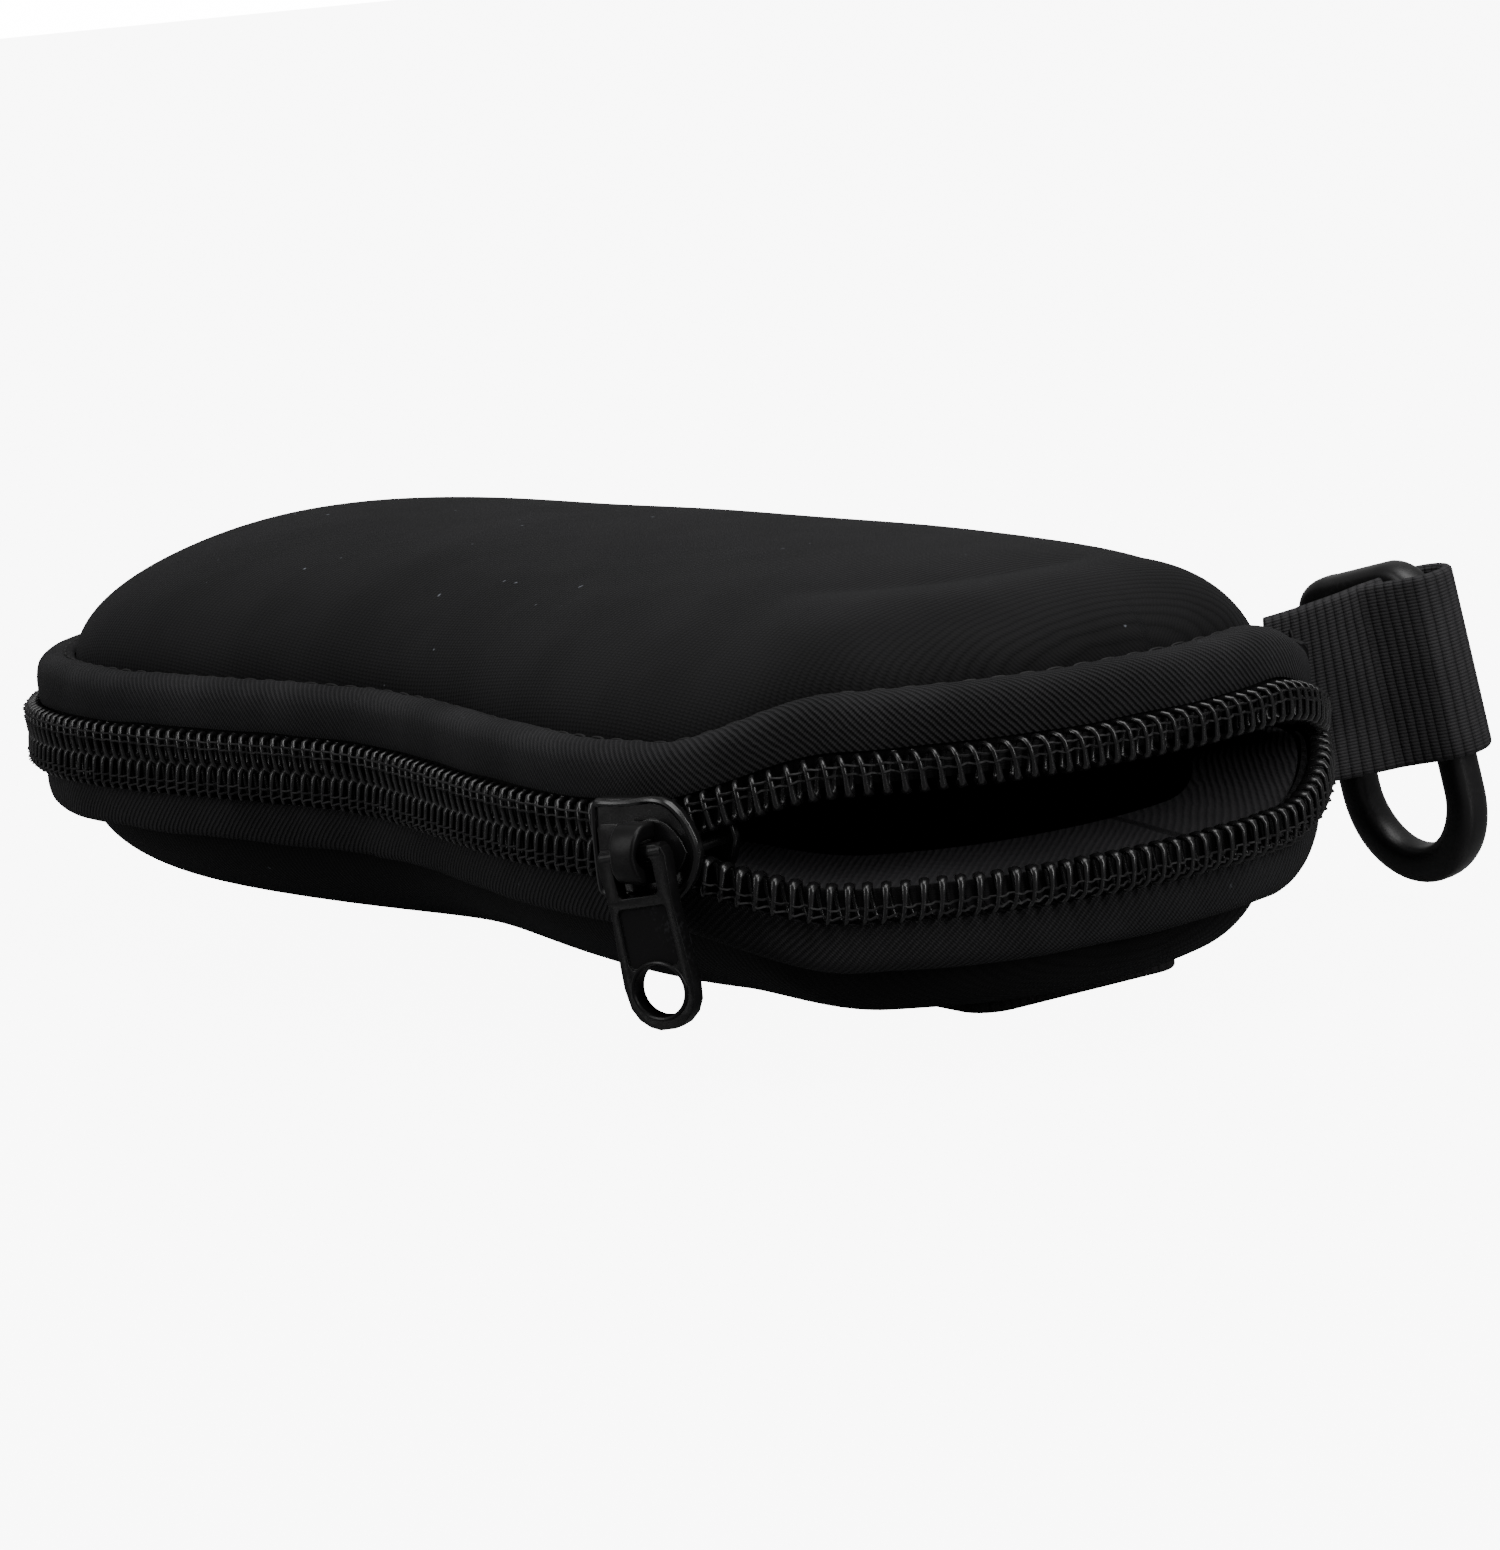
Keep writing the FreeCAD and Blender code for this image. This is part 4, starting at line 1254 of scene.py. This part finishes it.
    def tab_field(self) -> bpy.types.Object:
        """Matt floor of the tab's sunk field, on its outer face."""
        corners = mirrored([(2.3, -4.6), (2.55, -4.9), (2.66, -9.25), (2.3, -9.65)])
        floor = slab_at("pull_tab_field", corners, 0.06, 0.0, 0)
        self.hang(floor, self.crown_axis + self.tab_ply / 2 - self.tab_sunk - 0.02)
        return floor

    def hang(self, piece: bpy.types.Object, level: float) -> None:
        """Set a tab part at its level and lean it as the tab hangs."""
        carry(piece, Matrix.Translation((0, level * MM, 0)))
        carry(piece, Matrix.Rotation(math.radians(self.tab_lean), 4, "Y"))

    def build(self) -> None:
        """Make the parts and set them in the zip."""
        where = self.place.matrix()
        for piece, finish, body, nodes in (
            (self.tab_field(), FIELD, "tab", ()),
            (self.body(), SLIDER, "slider", ("slider_body",)),
            (self.crown(), CROWN, "slider", ("slider_crown",)),
            (self.tab(), TAB, "tab", ("pull_tab",)),
        ):
            carry(piece, where)
            fit(piece, finish, body, *nodes)


# ---- spine and belt loop ------------------------------------------------------------------
@dataclass
class Spine:
    """Cloth hinge along the back, and the belt loop under the belly."""

    half_width: float = 7.4
    outside: float = -0.9
    inside: float = -1.55
    loop_from: float = -22.0
    loop_to: float = 60.0
    loop_middle: float = 6.0
    loop_half: float = 12.0
    loop_ply: float = 1.3
    loop_corner: float = 3.4
    tacks_per_row: int = 8
    tack_pitch: float = 2.7
    hinge_y: float = 36 * MM
    hinge_from: float = 17.7 * MM
    hinge_to: float = 24.3 * MM

    def spine(self) -> bpy.types.Object:
        """Strip across both bindings with rolled long edges."""
        h, out = self.half_width, self.outside
        corners = [(out, -h), (out + 0.08, -h * 0.5), (out - 0.12, 0), (out + 0.08, h * 0.5), (out, h),
                   (self.inside, h), (self.inside, -h)]
        section = rounded(corners, 0.26, fine=1.0)
        band = Band(section, start=OUTLINE.spine_from, end=OUTLINE.spine_to, steps=300,
                    wave=0.10 * MM, wave_seed=4.0)
        return band.build("spine_cloth_strip", Half.UPPER)

    def loop_plate(self) -> bpy.types.Object:
        """Webbing strap with soft corners."""
        fillet = self.loop_corner
        left, right = self.loop_from + fillet, self.loop_to - fillet
        reach = self.loop_half - fillet
        corners: list[Points] = []
        for x, side, start in ((right, 1, 0), (left, 1, 90), (left, -1, 180), (right, -1, 270)):
            centre = (x, self.loop_middle + side * reach)
            corners.append(arc_points(centre, (fillet, fillet), start, start + 90, 9))
        plate = slab_at("belt_loop_strap", np.vstack(corners), self.loop_ply, 0.0, 0.38, 4)
        turned = coords(plate)
        set_coords(plate, np.c_[turned[:, 0], turned[:, 2], turned[:, 1]])
        face_out(plate)
        points = coords(plate)
        set_uv(plate, np.c_[points[:, 1], points[:, 0]])
        smooth(plate, 40)
        return plate

    def tacks(self) -> bpy.types.Object:
        """Rows of stitches across both ends of the belt loop."""
        path = np.c_[np.zeros(6), np.linspace(-1.0, 1.0, 6), [0.30, 0.10, 0.05, 0.05, 0.10, 0.30]] * MM
        model = rod("belt_loop_tacks", path, 0.17 * MM, 6)
        base = coords(model)
        first = self.loop_middle - self.loop_half + 2.6
        copies = []
        for x in (self.loop_from + 3, self.loop_from + 6, self.loop_to - 6, self.loop_to - 3):
            for i in range(self.tacks_per_row):
                copies.append(base + np.array([x, first + self.tack_pitch * i, 0.10]) * MM)
        return repeat_mesh(model, copies)

    def build(self) -> None:
        """Make the spine, the belt loop and its tacks."""
        spine = self.spine()
        finish_piece(spine, SPINE)
        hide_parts("spine_gusset")
        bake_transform(spine)
        plate = self.loop_plate()
        fit(plate, WEBBING, "base", "belt_loop")
        fit(self.tacks(), THREAD, "base", "belt_loop_stitching")


# ---- strap --------------------------------------------------------------------------------
@dataclass
class StrapPlace:
    """Frames of the strap and of the clip that hangs in its fold."""

    root_x: float = 54.0
    heading: float = 56.0
    rise: float = 9.0
    fold_at: float = 16.7
    clip_turn: float = 180.0
    inset: float = 0.9

    def strap(self) -> Matrix:
        """x outward along the strap, y across its thickness, z up its width."""
        point, normal = OUTLINE.at(np.array([OUTLINE.distance_at_x(self.root_x * MM, True)]))
        root = point[0] - normal[0] * self.inset * MM
        heading = Matrix.Rotation(math.radians(self.heading), 4, "Z")
        rise = Matrix.Rotation(math.radians(-self.rise), 4, "Y")
        return Matrix.Translation((root[0], root[1], OUTLINE.parting_z)) @ heading @ rise

    def clip(self) -> Matrix:
        """z along the held leg, x toward the gate leg, y across the ring."""
        turn = Matrix.Rotation(math.radians(self.clip_turn - self.heading), 4, "Z")
        return self.strap() @ Matrix.Translation((self.fold_at * MM, 0, 0)) @ turn


@dataclass
class Strap:
    """Ribbed webbing: a sewn root that opens into a fold round the clip's held leg."""

    place: StrapPlace = field(default_factory=StrapPlace)
    width: float = 17.8
    ply: float = 1.1
    fold_radius: float = 2.45
    start: float = 0.75
    sewn_to: float = 11.4
    fold_turn: float = 100.0
    cross_seam: float = 4.2
    bend_from: float = 9.4
    bend_to: float = 12.2
    steps: int = 220

    def middle_line(self) -> tuple[Points, np.ndarray]:
        """Path of the webbing's middle in plan, and its distance along the cloth."""
        half = self.ply / 2 + 0.02
        radius = self.fold_radius + half
        lead = np.c_[np.linspace(self.start, self.sewn_to, 14, endpoint=False), np.full(14, half)]
        fold = arc_points((self.place.fold_at, 0), (radius, radius), self.fold_turn, 0, 14)
        touch = fold[0]
        share = np.linspace(0, 1, 8, endpoint=False)[:, None]
        bow = np.c_[np.zeros(8), np.sin(share[:, 0] * math.pi) * 0.12]
        ramp = np.array([self.sewn_to, half]) * (1 - share) + touch * share - bow
        upper = np.vstack([lead, ramp, fold])
        lower = upper[-2::-1] * [1, -1]
        line = np.vstack([upper, lower])
        run = np.r_[0, np.cumsum(np.hypot(*np.diff(line, axis=0).T))]
        return line, run

    def webbing(self) -> bpy.types.Object:
        """The strap as one length of webbing, rounded at its selvedges."""
        line, run = self.middle_line()
        tangent = np.gradient(line, run, axis=0)
        tangent /= np.linalg.norm(tangent, axis=1)[:, None]
        across = np.c_[-tangent[:, 1], tangent[:, 0]]
        half = self.width / 2
        ply = self.ply / 2 - 0.03
        corners = [(ply, -half + 0.35), (ply, half - 0.35), (0.0, half), (-ply, half - 0.35),
                   (-ply, -half + 0.35), (0.0, -half)]
        section = np.array(rounded(corners, 0.3, fine=1.1))
        count = len(section)
        looped = np.vstack([section, section[:1]])
        around = np.r_[0, np.cumsum(np.hypot(*np.diff(looped, axis=0).T))]
        length = run[-1]

        def place(u: np.ndarray, v: np.ndarray) -> Points:
            at = u * length
            x = np.interp(at, run, line[:, 0])
            y = np.interp(at, run, line[:, 1])
            nx = np.interp(at, run, across[:, 0])
            ny = np.interp(at, run, across[:, 1])
            norm = np.hypot(nx, ny)
            thick = np.interp(v * count, np.arange(count + 1), looped[:, 0])
            level = np.interp(v * count, np.arange(count + 1), looped[:, 1])
            lean = level * math.tan(math.radians(self.place.rise))
            sewn = np.clip((self.sewn_to - x) / (self.sewn_to - self.start), 0, 1)
            narrow = 1 - 0.09 * sewn
            sag = 0.10 * ripple(at * 0.5, level * 0.35)
            return np.c_[x + nx / norm * thick + lean * sewn, y + ny / norm * (thick + sag),
                         level * narrow - 0.05 * sewn * (x - self.start)] * MM

        def flat(u: np.ndarray, v: np.ndarray) -> np.ndarray:
            return np.c_[u * length, np.interp(v * count, np.arange(count + 1), around)] * MM

        piece = laid_grid("strap_webbing", self.steps, count, place, flat)
        cap_ends(piece)
        face_out(piece)
        smooth(piece, 50)
        return piece

    def stitches(self) -> bpy.types.Object:
        """Stitch rows that close the fold and one across the sewn root, on both faces."""
        path = np.c_[np.zeros(6), [-0.05, 0.1, 0.15, 0.15, 0.1, -0.05], np.linspace(-1.0, 1.0, 6)] * MM
        model = rod("strap_threads", path, 0.16 * MM, 6)
        base = coords(model)
        copies = []
        for x, lift in ((self.sewn_to + 0.9, 0.02), (self.cross_seam, 0.0)):
            for i in range(5):
                for face in (1, -1):
                    shift = np.array([x, face * (self.ply + 0.05 + lift), -5.7 + i * 2.8]) * MM
                    copies.append(base * [1, face, 1] + shift)
        return repeat_mesh(model, copies)

    def loose_thread(self) -> bpy.types.Object:
        """Frayed thread end that stands out of the root's lower corner."""
        turn = np.linspace(0, 1, 16)
        along = 3.0 - 2.4 * turn + 1.2 * turn**2
        out = -1.3 - 1.6 * np.sin(turn * 2.6)
        down = -6.0 - 3.4 * np.sin(turn * 2.3)
        return rod("strap_loose_thread", np.c_[along, out, down] * MM, 0.11 * MM, 6)

    def build(self) -> None:
        """Make the webbing, its stitches and the loose thread."""
        where = self.place.strap()
        webbing = self.webbing()
        carry(webbing, where)
        finish_piece(webbing, WEBBING)
        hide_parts("strap_anchor", "strap_loop")
        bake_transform(webbing)
        stitches = self.stitches()
        carry(stitches, where)
        finish_piece(stitches, THREAD)
        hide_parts("strap_stitching")
        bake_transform(stitches)
        loose = self.loose_thread()
        carry(loose, where)
        smooth(loose, 80)
        fit(loose, THREAD, "base")


# ---- clip ---------------------------------------------------------------------------------
@dataclass
class Clip:
    """Moulded snap clip: a ring with flat shoulders, a gate with a thumb block, pin and spring."""

    place: StrapPlace = field(default_factory=StrapPlace)
    leg: float = 1.7
    span: float = 14.6
    low: float = -21.4
    high: float = 9.8
    shoulder: float = 3.4
    far_drop: float = 1.0
    gate_clear: float = 0.6
    pivot: float = 4.7
    cheeks: tuple[tuple[float, float], ...] = ((-1.66, -0.85), (0.85, 1.66))
    facet: float = -1.42
    facet_from: float = -15.0
    facet_to: float = 3.6
    squareness: float = 2.9
    sides: int = 32

    def __post_init__(self) -> None:
        """Heights that follow from the ring's size."""
        self.end_radius = self.span / 2
        self.top = self.high - self.leg - self.shoulder
        self.bottom = self.low + self.leg + self.end_radius
        self.nose = self.bottom + 1.6

    def middle_line(self) -> Points:
        """Middle line of the ring in x and z, from the nose under the gate round to the fork above it."""
        s = self.shoulder
        fork_top = self.pivot + 0.6
        end = self.end_radius
        start = np.c_[np.full(5, self.span), np.linspace(self.nose, self.bottom, 5, endpoint=False)]
        round_low = arc_points((end, self.bottom), (end, end), 0, -180, 33)[:-1]
        left = np.c_[np.zeros(30), np.linspace(self.bottom, self.top, 30, endpoint=False)]
        bend = arc_points((s, self.top), (s, s), 180, 90, 12)[:-1]
        far = self.span - s
        near_level = self.top + s
        far_level = near_level - self.far_drop
        shoulder = np.linspace((s, near_level), (far, far_level), 9, endpoint=False)
        bend_down = arc_points((far, fork_top), (s, far_level - fork_top), 90, 0, 12)
        return np.vstack([start, round_low, left, bend, shoulder, bend_down])

    def section_size(self, line: Points) -> tuple[np.ndarray, np.ndarray]:
        """Half width in the ring's plane and half thickness across it, along the middle line."""
        crown = smooth_step((line[:, 1] - self.top + 0.6) / 3.2)
        foot = smooth_step((self.bottom - line[:, 1]) / 5.0)
        wide = self.leg * (1.0 + 0.06 * crown + 0.08 * foot)
        thick = self.leg * (1.0 + 0.04 * crown + 0.04 * foot)
        return wide, thick

    def ring(self) -> bpy.types.Object:
        """The ring, open between its nose and its fork, with a flat facet on the held leg."""
        line = self.middle_line()
        run = np.r_[0, np.cumsum(np.hypot(*np.diff(line, axis=0).T))]
        along = np.gradient(line, run, axis=0)
        along /= np.linalg.norm(along, axis=1)[:, None]
        out = np.c_[-along[:, 1], along[:, 0]]
        wide, thick = self.section_size(line)
        count, sides = len(line) - 1, self.sides
        turn = np.linspace(0, 2 * math.pi, sides, endpoint=False)
        power = 2 / self.squareness
        cx = np.sign(np.cos(turn)) * np.abs(np.cos(turn)) ** power
        cy = np.sign(np.sin(turn)) * np.abs(np.sin(turn)) ** power

        def place(u: np.ndarray, v: np.ndarray) -> Points:
            i = np.round(u * count).astype(int)
            k = np.round(v * sides).astype(int) % sides
            plane = line[i] + out[i] * (wide[i] * cx[k])[:, None]
            across = thick[i] * cy[k]
            level = line[i][:, 1]
            held = (line[i][:, 0] < 1.0) & (level > self.facet_from) & (level < self.facet_to)
            across = np.where(held, np.maximum(across, self.facet), across)
            return np.c_[plane[:, 0], across, plane[:, 1]] * MM

        def flat(u: np.ndarray, v: np.ndarray) -> np.ndarray:
            return np.c_[u * 0.070, v * 0.011]

        piece = laid_grid("clip_ring_body", count, sides, place, flat)
        cap_ends(piece)
        face_out(piece)
        return piece

    @staticmethod
    def block(name: str, low: tuple[float, float, float], high: tuple[float, float, float],
              bevel: float) -> bpy.types.Object:
        """Rounded block between two corners, in millimetres."""
        outline = [(low[0], low[2]), (high[0], low[2]), (high[0], high[2]), (low[0], high[2])]
        return slab_at(name, outline, high[1] - low[1], low[1], bevel)

    def frame_piece(self) -> bpy.types.Object:
        """Ring with the two cheeks that hold the gate's pin."""
        ring = self.ring()
        apply_modifier(ring, "BEVEL", width=0.22 * MM, segments=3, limit_method="ANGLE", angle_limit=1.0)
        parts = [ring]
        for low, high in self.cheeks:
            parts.append(self.block("cheek", (self.span - 1.55, low, self.pivot - 1.5),
                                    (self.span + 1.55, high, self.pivot + 1.6), 0.22))
        whole = join(parts, "clip_ring_body")
        smooth(whole, 38)
        return whole

    def gate_piece(self) -> bpy.types.Object:
        """Gate bar with a rounded thumb block that stands out from the ring."""
        foot = self.nose + self.gate_clear
        x, pivot = self.span, self.pivot
        eye = arc_points((x, pivot), (1.25, 1.25), 0, 348, 30)
        piece = join([
            self.block("gate_bar", (x - 1.45, -1.45, foot), (x + 1.45, 1.45, pivot - 2.7), 0.5),
            self.block("gate_thumb", (x - 2.0, -1.75, foot), (x + 2.7, 1.75, foot + 1.9), 0.42),
            self.block("gate_neck", (x - 1.0, -0.7, pivot - 3.1), (x + 1.0, 0.7, pivot), 0.1),
            slab_at("gate_eye", eye, 1.4, -0.7, 0.1, 2),
        ], "clip_gate_bar")
        smooth(piece, 40)
        return piece

    def build(self) -> None:
        """Make the ring and the gate; the pin and the spring keep their CAD shape."""
        where = self.place.clip()
        ring = self.frame_piece()
        carry(ring, where)
        fit(ring, CLIP, "clip", "clip_frame")
        gate = self.gate_piece()
        carry(gate, where)
        fit(gate, CLIP, "gate", "clip_gate")
        finish_piece(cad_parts["clip_gate_pin"], PIN)
        finish_piece(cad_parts["clip_gate_spring"], CLIP)


# ---- studio -------------------------------------------------------------------------------
@dataclass
class Studio:
    """Pale glossy table, soft lights, plain surround and the camera."""

    floor_size: float = 20.0
    floor_level: float = -0.4 * MM
    floor_grey: float = 0.16
    azimuth: float = 55.6
    elevation: float = 9.6
    roll: float = -5.3
    distance: float = 0.492
    aim_right: float = 0.0108
    aim_down: float = 0.0052
    lens: float = 120.0
    ambient: float = 0.55
    seen_white: float = 16.0
    floor_glow: float = 8.5

    def floor(self) -> None:
        """Table top just under the case."""
        deselect()
        bpy.ops.mesh.primitive_plane_add(size=self.floor_size, location=(0, 0, 0))
        plane = named(bpy.context.object, "table_top")
        points = coords(plane)
        points[:, 2] = self.floor_level
        set_coords(plane, points)
        material, n, shader = new_material("table_white")
        n.feed(shader, "Base Color", (self.floor_grey, self.floor_grey, 0.162, 1.0))
        n.feed(shader, "Roughness", 0.18)
        n.feed(shader, "Specular IOR Level", 0.40)
        seen = n.add("ShaderNodeLightPath").outputs["Is Camera Ray"]
        n.feed(shader, "Emission Color", (1.0, 1.0, 1.0, 1.0))
        n.feed(shader, "Emission Strength", n.math("MULTIPLY", seen, self.floor_glow))
        plane.data.materials.append(material)

    @staticmethod
    def light(name: str, place: tuple[float, float, float], size: tuple[float, float],
              power: float) -> None:
        """Soft rectangular light aimed at the case.

        Args:
            name: light name.
            place: where it hangs, in metres.
            size: its two sides.
            power: watts.
        """
        deselect()
        bpy.ops.object.light_add(type="AREA", location=place)
        lamp = bpy.context.object
        lamp.name = name
        lamp.data.shape = "RECTANGLE"
        lamp.data.size, lamp.data.size_y = size
        lamp.data.energy = power
        aim = Vector((0, 0, 0.02)) - Vector(place)
        lamp.rotation_euler = aim.to_track_quat("-Z", "Y").to_euler()

    def surround(self) -> None:
        """Even white world."""
        world = bpy.data.worlds.new("white_surround")
        bpy.context.scene.world = world
        world.use_nodes = True
        back = world.node_tree.nodes["Background"]
        back.inputs["Color"].default_value = (1.0, 1.0, 1.0, 1.0)
        n = Nodes(world.node_tree)
        seen = n.add("ShaderNodeLightPath").outputs["Is Camera Ray"]
        n.feed(back, "Strength", n.math("MULTIPLY_ADD", seen, self.seen_white - self.ambient, self.ambient))

    def camera(self) -> None:
        """Long lens a little above the table, level with the case's front corner."""
        deselect()
        bpy.ops.object.camera_add()
        eye = bpy.context.object
        eye.name = "eye"
        az, el, roll = (math.radians(x) for x in (self.azimuth, self.elevation, self.roll))
        forward = Vector((-math.sin(az) * math.cos(el), math.cos(az) * math.cos(el), -math.sin(el)))
        right = Vector((math.cos(az), math.sin(az), 0))
        up = right.cross(forward)
        turned_right = right * math.cos(roll) + up * math.sin(roll)
        turned_up = up * math.cos(roll) - right * math.sin(roll)
        aim = Vector((0, 0, OUTLINE.parting_z)) + turned_right * self.aim_right - turned_up * self.aim_down
        place = aim - forward * self.distance
        basis = Matrix((turned_right, turned_up, -forward)).transposed().to_4x4()
        eye.matrix_world = Matrix.Translation(place) @ basis
        eye.data.lens = self.lens
        eye.data.sensor_width = 36.0
        eye.data.sensor_fit = "HORIZONTAL"
        eye.data.clip_start = 0.01
        bpy.context.scene.camera = eye

    def build(self) -> None:
        """Make floor, lights, world and camera."""
        self.floor()
        self.surround()
        self.light("softbox_top", (0.16, 0.02, 0.80), (0.7, 0.5), 15.0)
        self.light("strip_left", (-0.20, -0.80, 0.45), (0.16, 0.7), 7.0)
        self.light("strip_right", (0.80, 0.10, 0.50), (0.16, 0.7), 13.0)
        self.camera()


def main() -> None:
    """Build the case, then the studio."""
    logging.basicConfig(level=logging.INFO, format="%(name)s: %(message)s")
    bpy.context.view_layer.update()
    Shells().build()
    Seams().build()
    Zip().build()
    Slider().build()
    Spine().build()
    Strap().build()
    Clip().build()
    Studio().build()


if __name__ == "__main__":
    main()
